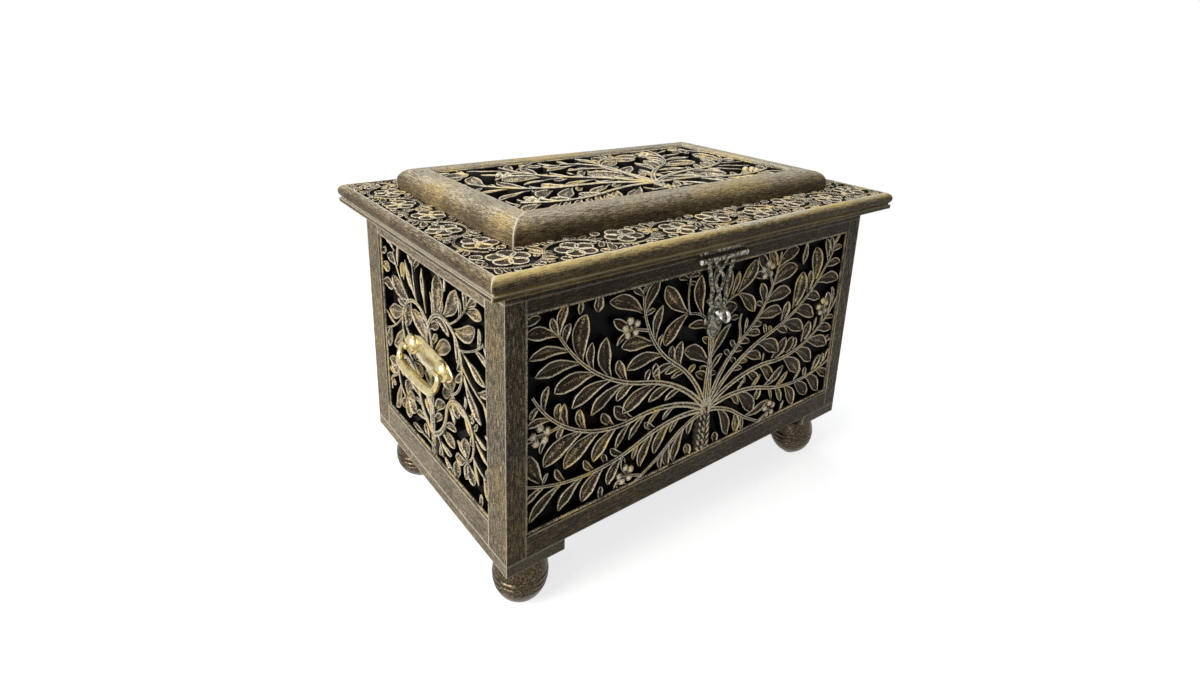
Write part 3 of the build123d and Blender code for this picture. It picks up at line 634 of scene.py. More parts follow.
# Boughs: heading, length, turn, length, turn, width; lengths in halves of the panel's width.
front_boughs = [
    (87, 0.30, 14, 0.32, -96, 4.4),
    (70, 0.38, -34, 0.46, 50, 5.0),
    (52, 0.50, -38, 0.60, 46, 5.6),
    (33, 0.48, -40, 0.66, 70, 5.8),
    (14, 0.42, -34, 0.64, 44, 5.4),
    (-8, 0.24, -30, 0.34, 20, 4.6),
]
side_boughs = [
    (86, 0.78, 16, 1.45, -262, 5.4),
    (22, 0.44, 58, 0.98, -236, 5.0),
]
lid_boughs = [
    (84, 0.34, 20, 0.48, -96, 4.8),
    (60, 0.46, -30, 0.58, 56, 5.4),
    (36, 0.52, -36, 0.64, 66, 5.8),
    (8, 0.42, -30, 0.56, 50, 5.2),
]


def panel_size(node, across_axis, up_axis):
    """Half the panel's width, and its height."""
    low, high = node_box(node)
    return (high[across_axis] - low[across_axis]) / 2, high[up_axis] - low[up_axis]


# Height of the fork and width of the trunk.
front_fork, front_trunk = 50, 19
side_fork, side_trunk = 24, 11
lid_fork, lid_trunk = 36, 15

front_tree = grow_tree(*panel_size("front_carved_panel", 0, 2), front_fork, front_trunk, front_boughs)
side_tree = grow_tree(*panel_size("left_carved_panel", 1, 2), side_fork, side_trunk, side_boughs, True)
lid_tree = grow_tree(*panel_size("lid_carved_panel", 0, 1), lid_fork, lid_trunk, lid_boughs)
print("leaves", len(front_tree.leaves), len(side_tree.leaves), len(lid_tree.leaves))

# %% [markdown]
# ## Carving in relief
# Every stem and leaf is a ribbon: a cross-section carried along a bent line. A leaf has a raised rim,
# a hollow and a raised vein; a stem has two rims and a groove. Each point also records how far it
# stands up, which is where the brush leaves its gold, and whether it belongs to a sawn wall.

# %% Ribbons
CHIP = 0.14
LEAF_RIM, STEM_RIM = 3.2, 2.2
STEM_SWELL, STEM_SHRINK, STEM_GROOVE = 1.3, 0.4, 1.1
LEAF_HOOK = 1.5
BARK_STEP, BARK_SCALE, BARK_STRANDS = 0.7, 6.5, 10
# Inset, height, ridge, wall.
BEAD = ((0.0, -0.1, 0.25, 0.0), (0.5, -0.05, 0.35, 0.0), (1.1, 0.0, 0.65, 0.0), (1.8, -0.1, 0.6, 0.0),
        (RIM, -0.8, 0.3, 0.0), (RIM, -1.6, 0.0, 1.0))


def turns(count, start=0.0):
    """Even angles once round."""
    return [start + 2 * pi * i / count for i in range(count)]


class Relief:
    """A mesh of ribbons and domes on a flat place; heights are below the face when negative."""

    def __init__(self, depth):
        self.depth = depth
        self.points = []
        self.ridge = []
        self.wall = []
        self.faces = []

    def add_row(self, row):
        """A row of (x, y, height, ridge, wall) points; gives the number of its first point."""
        first = len(self.points)
        for x, y, height, ridge, wall in row:
            self.points.append((x, y, height))
            self.ridge.append(ridge)
            self.wall.append(wall)
        return first

    def add_rows(self, rows, closed=False):
        """Faces between neighbouring rows of equal length."""
        firsts = [self.add_row(row) for row in rows]
        count = len(rows[0])
        for a, b in zip(firsts, firsts[1:]):
            for i in range(count if closed else count - 1):
                j = (i + 1) % count
                self.faces.append((a + i, a + j, b + j, b + i))

    def ribbon(self, places, section, chance=None):
        """A section, which is a function of the half width, carried along (x, y, heading, half)."""
        rows = []
        for x, y, heading, half in places:
            ax, ay = sin(heading), -cos(heading)
            swell = chance.uniform(0.95, 1.05) if chance else 1.0
            row = []
            for offset, height, ridge, wall in section(half * swell):
                knife = chance.uniform(-CHIP, CHIP) if chance and wall < 1 else 0.0
                row.append((x + ax * offset, y + ay * offset, min(0.0, height + knife), ridge, wall))
            rows.append(row)
        self.add_rows(rows)

    def dome(self, x, y, radius, top, rise, ridge=1.0, sides=14, rings=4):
        """A berry or a flower's eye: a wall with a rounded cap."""
        base = top - rise
        rings_up = [(radius, -self.depth, 0.0, 1.0), (radius, base, 0.15, 0.6)]
        for k in range(1, rings + 1):
            climb = k / rings * pi / 2
            up = sin(climb)
            rings_up.append((radius * cos(climb) + 0.01, base + rise * up, 0.25 + ridge * 0.7 * up, 0.0))
        self.add_rows([[(x + reach * cos(turn), y + reach * sin(turn), height, mark, wall)
                        for turn in turns(sides)] for reach, height, mark, wall in rings_up], closed=True)


def leaf_section(depth, sink, dish, tilt):
    """Walls, a rounded raised rim, and a scooped hollow with a vein."""
    def section(half):
        small = min(1.0, half / LEAF_RIM)
        lean = tilt * min(1.0, half / 5)
        edge = [(half + 0.2 * small, -depth, 0.0, 1.0), (half, -2.4 - sink, 0.0, 1.0),
                (half - 0.12 * small, -1.2 - sink, 0.15, 0.9), (half - 0.4 * small, -0.4 - sink, 0.80, 0.2),
                (half - 0.9 * small, -sink, 1.0, 0.0),
                (half - 1.5 * small, -sink - 0.45 * dish * small, 0.55, 0.0),
                (half - 2.2 * small, -sink - 0.9 * dish * small, 0.18, 0.0),
                (0.35 * (half - 2.0 * small), -sink - dish * small, 0.26, 0.0)]
        one, other = [[(side * offset, height + side * lean * (height > -depth), ridge, wall)
                       for offset, height, ridge, wall in edge] for side in (1, -1)]
        return other + [(0.0, -sink - 0.62 * dish * small, 0.50, 0.0)] + one[::-1]
    return section


def stem_section(depth, groove):
    """Walls, two rounded rims and the groove between them."""
    def section(half):
        small = min(1.0, half / STEM_RIM)
        left = [(-half - 0.2, -depth, 0.0, 1.0), (-half, -2.2, 0.0, 1.0), (-half + 0.12, -1.0, 0.15, 0.9),
                (-half + 0.45 * small, -0.3, 0.75, 0.2), (-0.60 * half, 0.0, 1.0, 0.0),
                (-0.22 * half, -groove * small, 0.35, 0.0)]
        return left + [(-offset, height, ridge, wall) for offset, height, ridge, wall in reversed(left)]
    return section


def leaf_line(leaf, count=14, hook=1.0):
    """Places along a leaf with its carved outline; a hook above 1 keeps most of its bend for the tip."""
    x, y, heading, length, width, bend = leaf
    places = []
    before = 0.0
    for i in range(count + 1):
        share = 0.04 + 0.96 * (1 - cos(pi * i / count)) / 2
        turned = heading + radians(bend) * ((before + share) / 2) ** hook
        x += length * (share - before) * cos(turned)
        y += length * (share - before) * sin(turned)
        before = share
        places.append((x, y, heading + radians(bend) * share**hook, 0.1 + 0.98 * leaf_half(width, share)))
    return places


def carve_tree(tree, depth, seed, dish=2.0):
    """The whole tree in relief, with its bark and the bead round the opening."""
    chance = random.Random(seed)
    relief = Relief(depth)
    for stem in tree.stems[1:]:
        stout = [(x, y, heading, half * STEM_SWELL - STEM_SHRINK)
                 for x, y, heading, half in stem_places(stem, 2.5)]
        relief.ribbon(stout, stem_section(depth, STEM_GROOVE), chance)
    for x, y, heading, length, width, bend in tree.leaves:
        tilt = chance.choice((-1, 1)) * chance.uniform(0.3, 1.6)
        sink = chance.uniform(0.2, 0.8) + abs(tilt)
        leaf = (x, y, heading, length * chance.uniform(0.96, 1.04), width, bend + chance.uniform(-9, 9))
        relief.ribbon(leaf_line(leaf, hook=LEAF_HOOK), leaf_section(depth, sink, dish, tilt), chance)
    for x, y in tree.berries:
        for i in range(BERRIES):
            turn = 2 * pi * (i + chance.uniform(0.2, 0.4)) / BERRIES
            bx, by = x + 1.8 * BERRY * cos(turn), y + 1.8 * BERRY * sin(turn)
            relief.dome(bx, by, BERRY * 1.06, -0.1, 3.4, 0.85)
        relief.dome(x, y, BERRY * 0.7, -1.4, 1.6, 0.5)
    add_bark(relief, tree.stems[0], depth)
    add_rim(relief, tree.half_width, tree.height, depth)
    return relief


def add_bark(relief, trunk, depth):
    """Overlapping scales up the trunk."""
    rows = []
    for x, y, heading, half in stem_places(trunk, BARK_STEP):
        row = [(x - half, y, -depth, 0.0, 1.0), (x - half, y, -1.2, 0.2, 0.5)]
        for k in range(-BARK_STRANDS, BARK_STRANDS + 1):
            share = k / (BARK_STRANDS + 0.5)
            scale = abs(sin(pi * (y / BARK_SCALE - 1.6 * abs(share) + (0.5 if share > 0 else 0.0))))
            strand = abs(cos(pi * 1.5 * share))
            lift = scale**0.6 * (0.45 + 0.55 * strand)
            row.append((x + share * half, y, -1.9 + 1.7 * lift, 0.08 + 0.85 * lift**2, 0.0))
        rows.append(row + [(x + half, y, -1.2, 0.2, 0.5), (x + half, y, -depth, 0.0, 1.0)])
    relief.add_rows(rows)


def add_rim(relief, half_width, height, depth):
    """A small rounded bead round the opening, mitred at its corners."""
    section = [*BEAD, (RIM, -depth, 0.0, 1.0)]
    relief.add_rows([[(sx * (half_width - inset), height - inset if top else inset, z, ridge, wall)
                      for inset, z, ridge, wall in section]
                     for sx, top in ((-1, 0), (1, 0), (1, 1), (-1, 1), (-1, 0))])


def mesh_object(name, points, faces, material, body, slot, nodes=(), marks=()):
    """A smooth piece from points in millimetres, which rides on a body and stands in for CAD nodes;
    marks are named values of its points, and slot is not used."""
    mesh = bpy.data.meshes.new(name)
    mesh.from_pydata([Vector(point) * MM for point in points], [], faces)
    build = bmesh.new()
    build.from_mesh(mesh)
    bmesh.ops.recalc_face_normals(build, faces=build.faces)
    build.to_mesh(mesh)
    build.free()
    for label, values in marks:
        mesh.attributes.new(label, "FLOAT", "POINT").data.foreach_set("value", values)
    mesh.polygons.foreach_set("use_smooth", [True] * len(mesh.polygons))
    mesh.materials.append(material)
    piece = bpy.data.objects.new(name, mesh)
    bpy.context.collection.objects.link(piece)
    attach(piece, body)
    if nodes:
        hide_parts(*nodes)


def relief_object(name, relief, origin, across, up, material, body, slot, nodes=()):
    """Puts a relief on a face; across and up are the face's own two directions."""
    origin = Vector(origin)
    out = across.cross(up)
    points = [origin + across * x + up * y + out * z for x, y, z in relief.points]
    print(name, len(points), "points")
    mesh_object(name, points, relief.faces, material, body, slot, nodes,
                (("ridge", relief.ridge), ("wall", relief.wall)))


# %% The four carved panels
LEAF_DISH, LID_LEAF_DISH = 2.0, 1.4


def carve_panel(board, tree, across, up, material, body, seed, dish=LEAF_DISH):
    """A tree on the outer face of its board, growing from the middle of the lower edge."""
    low, high = node_box(f"{board}_carved_panel")
    out = across.cross(up)
    face = [abs(c) for c in out].index(1)
    origin = [(low[k] + high[k]) / 2 if across[k] else high[k] if out[k] > 0 else low[k] for k in range(3)]
    relief = carve_tree(tree, high[face] - low[face], seed, dish)
    relief_object(f"{board}_tree_carving", relief, origin, across, up, material, body, "carved_gilt",
                  [f"{board}_carved_panel"])


carve_panel("front", front_tree, X, Z, carved_front_painted_highlight, "case", seed=3)
carve_panel("left", side_tree, -Y, Z, carved_side, "case", seed=5)
carve_panel("right", side_tree, Y, Z, carved_side, "case", seed=7)
carve_panel("lid", lid_tree, X, Y, carved_lid, "lid", seed=9, dish=LID_LEAF_DISH)

# %% [markdown]
# ## The carved border of the lid
# A band of running vine goes round the lid between the nosing and the raised frame. On the real box it
# is sunk a few millimetres into a thin board, so it is drawn like the trees but stays shallow. The vine
# is a chain of arcs that bend one way and then the other, and a flower sits in the hollow of each arc.

# %% A length of border
BORDER_DEPTH = 2.6
CUP_SIDES = 20
# Share of the cup's radius, height, ridge, wall.
CUP = ((1.0, -BORDER_DEPTH, 0.0, 1.0), (0.99, -0.8, 0.4, 0.4), (0.94, -0.1, 1.0, 0.0), (0.85, 0.0, 1.0, 0.0),
       (0.73, -0.6, 0.5, 0.0), (0.4, -1.2, 0.3, 0.0), (0.02, -1.3, 0.3, 0.0))
VINE, VINE_BOW = 2.6, 0.36
FLOWER, FLOWER_OUT, FLOWER_TURN = 0.38, 0.10, 0.3
PETALS, STAMENS = 5, 7
# Shares of the flower's radius.
PETAL, EYE, STAMEN_RING, STAMEN = 0.46, 0.34, 0.20, 0.06
BORDER_GAP, BORDER_LEAVES = 5.5, [19.0, 16.5, 14.0, 11.5]
FRUIT_STEP, FRUIT_LEAST, FRUIT_MOST, FRUIT_FIT = 1.5, 2.7, 5.4, 0.94
GROUND_WALL = 0.9


def add_cup(relief, x, y, radius, turned=0.0):
    """A round dish with a raised rim, standing on the sunk ground."""
    relief.add_rows([[(x + radius * reach * cos(turn), y + radius * reach * sin(turn), height, ridge, wall)
                      for turn in turns(CUP_SIDES, turned)] for reach, height, ridge, wall in CUP], closed=True)


def add_flower(relief, x, y, radius, turned):
    """Five cupped petals with raised rims round a domed eye with stamens."""
    petal = radius * PETAL
    for turn in turns(PETALS, turned):
        add_cup(relief, x + (radius - petal) * cos(turn), y + (radius - petal) * sin(turn), petal, turn)
    relief.dome(x, y, radius * EYE, 0.0, 1.6, 0.9, sides=16)
    ring = radius * STAMEN_RING
    for turn in turns(STAMENS):
        relief.dome(x + ring * cos(turn), y + ring * sin(turn), radius * STAMEN, 0.15, 0.5, sides=8, rings=2)


def carve_border(length, width, count):
    """One strip of border: vine, flowers, leaves and small fruit on a sunk ground."""
    strip = Growth(length / 2, width)
    pitch = length / count
    bow = 2 * atan2(width * VINE_BOW, pitch / 2)
    arc = pitch / sin(bow) * bow
    lift = degrees(2 * bow)
    runs = [(arc, -lift if i % 2 else lift) for i in range(count)]
    vine = strip.add_stem((-length / 2, width / 2, -bow), runs, VINE, VINE)
    radius = width * FLOWER
    flowers = [((i + 0.5) * pitch - length / 2, width / 2 + (-1 if i % 2 else 1) * width * FLOWER_OUT)
               for i in range(count)]
    strip.taken += [(x, y, radius) for x, y in flowers]
    strip.leaves_along(vine, BORDER_GAP, BORDER_LEAVES, turn=34, bend=46, slim=0.44, reach=7.0)
    strip.fill_gaps(step=2.5, least=3.0, slim=0.5, longest=16.0, reach=5.0)
    strip.fill_gaps(step=2.5, least=3.0, slim=0.55, longest=15.0, reach=5.0, spots=strip.rim_places())
    fruit = []
    for room, x, y in strip.open_ground(FRUIT_STEP, FRUIT_LEAST):
        size = min(room, FRUIT_MOST) * FRUIT_FIT
        if strip.clear(x, y, size - RIB, (0, 0), 0):
            fruit.append((x, y, size))
            strip.taken.append((x, y, size))
    relief = Relief(BORDER_DEPTH)
    relief.ribbon(stem_places(vine, 2.0), stem_section(BORDER_DEPTH, 0.7))
    for leaf in strip.leaves:
        relief.ribbon(leaf_line(leaf, 8), leaf_section(BORDER_DEPTH, 0.15, 1.0, 0.0))
    for i, (x, y) in enumerate(flowers):
        add_flower(relief, x, y, radius, FLOWER_TURN * i)
    for x, y, size in fruit:
        add_cup(relief, x, y, size)
    relief.add_rows([[(x, y, -BORDER_DEPTH, 0.0, GROUND_WALL) for x in (-length / 2, length / 2)]
                     for y in (0, width)])
    return relief


# %% The four sides of the border
border_low, border_high = node_box("lid_border_front")
outer_x, outer_y, border_top = border_high[0], -border_low[1], border_high[2]
raised_low, raised_high = node_box("raised_frame_front")
back_edge = node_box("raised_frame_back")[1][1]
run_side, middle_side = back_edge - raised_low[1], (back_edge + raised_low[1]) / 2
# Side, length, width, number of flowers, place of the middle of its outer edge, across, up.
for side, length, width, count, place, across, up in (
        ("front", 2 * outer_x, raised_low[1] + outer_y, 9, (0, -outer_y), X, Y),
        ("back", 2 * outer_x, outer_y - back_edge, 13, (0, outer_y), -X, -Y),
        ("left", run_side, outer_x - raised_high[0], 5, (-outer_x, middle_side), -Y, X),
        ("right", run_side, outer_x - raised_high[0], 5, (outer_x, middle_side), Y, -X)):
    relief_object(f"lid_border_carving_{side}", carve_border(length, width, count), (*place, border_top),
                  across, up, carved_border, "lid", "carved_gilt", [f"lid_border_{side}"])

# %% [markdown]
# ## Turned and cast pieces
# Feet come off a lathe, so a profile is spun round an axis. Bars and wires are cast or drawn, so a
# round section is carried along a bent path.

# %% Lathe and bar
def skin(rows, around, closed=False):
    """Faces between neighbouring rows of points, each row a ring; closed joins the last to the first."""
    faces = []
    for row in range(rows if closed else rows - 1):
        near, far = row * around, (row + 1) % rows * around
        for i in range(around):
            j = (i + 1) % around
            faces.append((near + i, near + j, far + j, far + i))
    return faces


def caps(rows, around):
    """A face over the first row and one over the last."""
    return [tuple(range(around))[::-1], tuple((rows - 1) * around + i for i in range(around))]


def spun_object(name, profile, centre, axis, sides, material, body, slot, nodes=(), closed=False):
    """A profile of (radius, height) points spun round an axis through the centre."""
    turn = Z.rotation_difference(Vector(axis)).to_matrix()
    points = [Vector(centre) + turn @ Vector((radius * cos(angle), radius * sin(angle), height))
              for radius, height in profile for angle in turns(sides)]
    faces = skin(len(profile), sides, closed)
    if not closed:
        faces += caps(len(profile), sides)
    mesh_object(name, points, faces, material, body, slot, nodes)


def bar_mesh(path, radius, sides=12, wider=1.0, closed=False):
    """Points and faces of a bar: radius is a function of the share of its length, and wider
    stretches the bar across the box."""
    path = [Vector(p) for p in path]
    count = len(path)
    points = []
    side = None
    for i, spot in enumerate(path):
        before = path[(i - 1) % count] if closed else path[max(i - 1, 0)]
        after = path[(i + 1) % count] if closed else path[min(i + 1, count - 1)]
        ahead = (after - before).normalized()
        if side is None:
            side = ahead.orthogonal().normalized()
        side = (side - ahead * side.dot(ahead)).normalized()
        other = ahead.cross(side)
        for angle in turns(sides):
            off = (side * cos(angle) + other * sin(angle)) * radius(i / (count - 1))
            off += X * off.x * (wider - 1)
            points.append(spot + off)
    return points, skin(count, sides, closed) + ([] if closed else caps(count, sides))


def join_meshes(parts):
    """Several (points, faces) pairs as one."""
    points, faces = [], []
    for some_points, some_faces in parts:
        base = len(points)
        points += some_points
        faces += [tuple(base + i for i in face) for face in some_faces]
    return points, faces


# %% Bun feet
FOOT_NECK, FOOT_COLLAR, FOOT_REST = 16.5, 9.0, 7.4
FOOT_LOWEST, FOOT_STEPS = -1.22, 130
FOOT_GROOVES, GROOVE_DEPTH, GROOVE_REACH = (-0.25, -0.06, 0.13), 1.2, 0.055
COLLAR_ROUND, COLLAR_STEP, COLLAR_CUTS = 1.2, 0.4, 8
FOOT_SIDES = 96


def foot_profile(height, radius):
    """A full bun with three turned grooves round its middle, standing on its own curve, under a collar."""
    shoulder = height - FOOT_COLLAR
    rise = acos(FOOT_NECK / radius)
    upright = shoulder / (1 + sin(rise))
    profile = [(0.01, 0.0), (FOOT_REST, 0.0)]
    for i in range(1, FOOT_STEPS):
        angle = FOOT_LOWEST + (rise - FOOT_LOWEST) * i / FOOT_STEPS
        out = radius * cos(angle)
        for groove in FOOT_GROOVES:
            out -= GROOVE_DEPTH * max(0.0, 1 - abs(angle - groove) / GROOVE_REACH) ** 0.7
        profile.append((out, upright * (1 + sin(angle))))
    base = shoulder + COLLAR_STEP
    for k in range(COLLAR_CUTS + 1):
        share = k / COLLAR_CUTS
        out = FOOT_NECK - COLLAR_ROUND + COLLAR_ROUND * sin(pi * share)
        profile.append((out, base + (height - base) * share))
    return profile + [(0.01, height)]


for corner in ("front_left", "front_right", "back_left", "back_right"):
    low, high = node_box(f"bun_foot_{corner}")
    spun_object(f"turned_foot_{corner}", foot_profile(high[2] - low[2], (high[0] - low[0]) / 2),
                ((low[0] + high[0]) / 2, (low[1] + high[1]) / 2, low[2]), Z, FOOT_SIDES, turned_bronze, "case",
                "turned_bronze", [f"bun_foot_{corner}"])

# %% [markdown]
# ## The hasp
# A cast strap in pierced strapwork hangs from a barrel on the lid. Its round eye drops over a staple,
# and a leaf is cast on the staple's plate below the eye.

# %% The hanging strap
EYE_DROP = 52.0
STRAP_IN = 1.3
STRAP_CUTS = 96
EDGE_OUT, EDGE_WIRE, EDGE_TWISTS = 14.4, 1.55, 9
INNER_OUT, INNER_WIRE, INNER_TWISTS = 6.6, 1.25, 8
# Shares of the wire's thickness: how far two wires wind sideways and in depth, and their own radius.
ROPE_OUT, ROPE_DEEP, ROPE_WIRE, ROPE_SIDES = 0.85, 0.50, 0.78, 8
EYE_SIDES, BARREL_SIDES = 48, 32
EYE_RING = [(3.9, 0.2), (4.4, 2.2), (6.0, 2.7), (7.6, 2.2), (8.4, 1.2), (9.2, 2.2), (10.2, 2.4), (10.9, 1.4),
            (11.0, 0.2)]
HALF_BARREL = [(3.15, 8.5), (2.7, 9.0), (3.15, 9.5), (3.15, 16.5), (2.6, 17.0), (0.01, 17.0)]

strap_face = node_box("hasp_strap")[1][1]
pin_low, pin_high = node_box("hasp_pin")
staple_back = node_box("hasp_staple")[1][1]
hinge_y, hinge_z = (pin_low[1] + pin_high[1]) / 2, (pin_low[2] + pin_high[2]) / 2
eye_z = hinge_z - EYE_DROP
strap_y = strap_face - STRAP_IN


def rope(path, thick, twists):
    """Two wires wound round one another along a path down the strap."""
    wires = []
    for phase in (0.0, pi):
        wound = []
        for i, (x, z) in enumerate(path):
            turn = phase + 2 * pi * twists * i / (len(path) - 1)
            wound.append((x + ROPE_OUT * thick * cos(turn), strap_y + ROPE_DEEP * thick * sin(turn), z))
        wires.append(bar_mesh(wound, lambda share: ROPE_WIRE * thick, ROPE_SIDES))
    return wires


def edge_path(side):
    """The outer edge of the strapwork, drawn in and out like a fiddle."""
    path = []
    for i in range(STRAP_CUTS + 1):
        share = i / STRAP_CUTS
        waist = 2.2 * sin(pi * share * 2.2) ** 2 + 8.0 * share**1.6
        out = min(EDGE_OUT - waist + 1.6 * sin(3 * pi * share), EDGE_OUT)
        path.append((side * out, hinge_z - 2.0 - (EYE_DROP - 8.0) * share))
    return path


def inner_path(side):
    """A strand that crosses its fellow twice and leaves tall lens-shaped openings."""
    path = []
    for i in range(STRAP_CUTS + 1):
        share = i / STRAP_CUTS
        out = INNER_OUT * (1.0 - 0.6 * share) * cos(2 * pi * share)
        path.append((side * out, hinge_z - 3.0 - (EYE_DROP - 11.0) * share))
    return path


strap_parts = []
for side in (-1, 1):
    strap_parts += rope(edge_path(side), EDGE_WIRE, EDGE_TWISTS)
    strap_parts += rope(inner_path(side), INNER_WIRE, INNER_TWISTS)
mesh_object("hasp_strapwork", *join_meshes(strap_parts), aged_brass, "hasp", "aged_brass", ["hasp_strap"])
spun_object("hasp_eye", EYE_RING, (0, strap_face, eye_z), -Y, EYE_SIDES, aged_brass, "hasp", "aged_brass",
            closed=True)
spun_object("hasp_barrel", [(radius, -out) for radius, out in HALF_BARREL[::-1]] + HALF_BARREL,
            (0, hinge_y, hinge_z), X, BARREL_SIDES, aged_brass, "hasp", "aged_brass")

# %% The staple and its leaf
LOOP_REACH, LOOP_RADIUS, LOOP_WIRE, LOOP_WIDER, LOOP_CUTS = 7.0, 4.85, 1.65, 1.15, 40
NECK_OUT, NECK_IN, NECK_THIN, NECK_SWELL = 2.6, 1.5, 2.2, 1.4
LEAF_RELIEF, LEAF_UP = 1.4, -0.5
PLATE_THICKNESS = 1.5
# Direction in degrees, length, width.
LEAF_FINGERS = ((-90, 25.0, 15.0), (-38, 15.0, 8.5), (-142, 15.0, 8.5), (90, 14.0, 13.0))

loop = bar_mesh([(0, hinge_y - LOOP_REACH + LOOP_RADIUS * cos(turn), eye_z + LOOP_RADIUS * sin(turn))
                 for turn in turns(LOOP_CUTS)], lambda share: LOOP_WIRE, 12, LOOP_WIDER, True)
neck = bar_mesh([(0, y, eye_z) for y in (hinge_y - NECK_OUT, hinge_y + NECK_IN, staple_back)],
                lambda share: NECK_THIN + NECK_SWELL * share)
mesh_object("staple_loop", *join_meshes([loop, neck]), bright_ring, "case", "aged_brass", ["hasp_staple"])

leaf = Relief(LEAF_RELIEF)
for turn, length, width in LEAF_FINGERS:
    leaf.ribbon(leaf_line((0, 0, radians(turn), length, width, 0)), leaf_section(LEAF_RELIEF, 0.1, 0.7, 0.0))
relief_object("staple_leaf", leaf, (0, staple_back - PLATE_THICKNESS, eye_z + LEAF_UP), X, Z, aged_brass, "case",
              "aged_brass")

# %% [markdown]
# ## The handles
# Each end of the case has a polished brass drop handle: a scalloped back plate with a domed boss at
# both ends, and a thick bail that rests slightly away from the carving.

# %% Back plates and bails
PLATE_CUTS = 120
# Share of the plate's outline, height above the wall.
PLATE_RISE = ((1.0, 0.0), (1.0, 0.9), (0.965, 1.5), (0.86, 1.5), (0.80, 2.1), (0.66, 2.3), (0.3, 2.5))
BOSS_APART, BOSS_FOOT, BOSS_HEIGHT, BOSS_RADIUS = 30.0, 1.5, 8.5, 9.6
BOSS_CUTS, BOSS_SIDES, BAIL_SIDES = 10, 40, 16
BAIL_LEAN, BAIL_SMOOTH = radians(18), 4
BAIL_END, BAIL_THIN, BAIL_SWELL = 27.0, 2.6, 1.6
UPPER_CORNER, LOWER_CORNER = (33.5, -3.5, 3.5), (27.5, -6.5, 9.5)
GRIP = ((24.0, -16.3), (20.0, -16.6), (12.0, -16.9), (0.0, -17.0))


def plate_outline(long, wide):
    """A scalloped oval, drawn as one closed curve."""
    outline = []
    for angle in turns(PLATE_CUTS):
        swell = 0.80 + 0.20 * abs(cos(2.5 * angle)) - 0.08 * abs(sin(5 * angle))
        outline.append((long * cos(angle) * (0.94 + 0.06 * swell), wide * sin(angle) * swell))
    return outline


def quarter(y, z, radius, start, cuts):
    """A quarter of a circle round y, z, falling from the start angle."""
    angles = [start - pi / 2 * k / cuts for k in range(cuts + 1)]
    return [(y + radius * cos(angle), z + radius * sin(angle)) for angle in angles]


def bail_outline():
    """The bail seen flat, as (y, height) from its axis: a straight end, a small upper corner, a wide
    lower one and a grip that sags a little, then the same again as in a mirror."""
    half = [(BAIL_END, 0.0), *quarter(*UPPER_CORNER, pi / 2, 6), *quarter(*LOWER_CORNER, 0.0, 10), *GRIP]
    return half + [(-y, z) for y, z in reversed(half[:-1])]


def bail_thickness(share):
    """The bail's radius, thickest in the middle of its grip."""
    return BAIL_THIN + BAIL_SWELL * max(0.0, cos(pi * (share - 0.5) * 1.6)) ** 1.2


def handle(side, name):
    """Plate, two bosses and bail on one end of the case; side is -1 on the left and 1 on the right."""
    low, high = node_box(f"{name}_handle_plate")
    face = low[0] if side > 0 else high[0]
    middle_y, middle_z = (low[1] + high[1]) / 2, (low[2] + high[2]) / 2
    outline = plate_outline((high[1] - low[1]) / 2, (high[2] - low[2]) / 2)
    points = [(face + side * lift, middle_y + y * shrink, middle_z + z * shrink)
              for shrink, lift in PLATE_RISE for y, z in outline]
    top_only = caps(len(PLATE_RISE), PLATE_CUTS)[1:]
    mesh_object(f"{name}_scalloped_plate", points, skin(len(PLATE_RISE), PLATE_CUTS) + top_only,
                polished_brass, "case", "polished_brass", [f"{name}_handle_plate"])
    dome = [(BOSS_RADIUS * cos(pi / 2 * k / BOSS_CUTS),
             BOSS_FOOT + (BOSS_HEIGHT - BOSS_FOOT) * sin(pi / 2 * k / BOSS_CUTS)) for k in range(BOSS_CUTS)]
    for end, where in ((-1, "near"), (1, "far")):
        spun_object(f"{name}_boss_{where}", [(0.01, BOSS_FOOT)] + dome + [(0.01, BOSS_HEIGHT)],
                    (face, middle_y + end * BOSS_APART, middle_z), X * side, BOSS_SIDES, polished_brass, "case",
                    "polished_brass")
    axis_x = face + side * BOSS_HEIGHT
    bent = [(axis_x - side * z * sin(BAIL_LEAN), middle_y + y, middle_z + z * cos(BAIL_LEAN))
            for y, z in bail_outline()]
    smooth = [[a[k] + (b[k] - a[k]) * step / BAIL_SMOOTH for k in range(3)]
              for a, b in zip(bent, bent[1:]) for step in range(BAIL_SMOOTH)]
    mesh_object(f"{name}_drop_bail", *bar_mesh(smooth + [bent[-1]], bail_thickness, BAIL_SIDES),
                polished_brass, f"{name}_bail", "polished_brass", [f"{name}_bail"])


handle(-1, "left")
handle(1, "right")

# %% [markdown]
# ## Screws
# Small domed brass screws hold the hinges at the back and the hasp's plate, and the hasp's pin has a
# bright domed end on both sides.

# %% Domed screws
PIN_END = [(3.4, 0.0), (3.4, 0.8), (3.0, 1.6), (1.9, 2.2), (0.9, 2.5), (0.01, 2.6)]
PIN_SIDES, SCREW_SIDES = 28, 20
SCREW_RADIUS, SCREW_TOP = 2.0, 1.2
SCREW = [(1.0, 0.0), (1.0, 0.25), (0.9, 0.65), (0.62, 1.0), (0.3, 1.15)]
HASP_SCREW_X, HASP_SCREW_Z = 22.0, 287.0
HINGE_SCREWS_X = (-139.0, -125.0, -111.0, 111.0, 125.0, 139.0)
CASE_SCREWS_Z, LID_SCREWS_Z = 272.0, 286.5


def screw(name, place, axis, body):
    """A domed screw standing on a face; the axis points out of it."""
    profile = [(SCREW_RADIUS * share, height) for share, height in SCREW] + [(0.01, SCREW_TOP)]
    spun_object(name, profile, place, axis, SCREW_SIDES, aged_brass, body, "aged_brass")


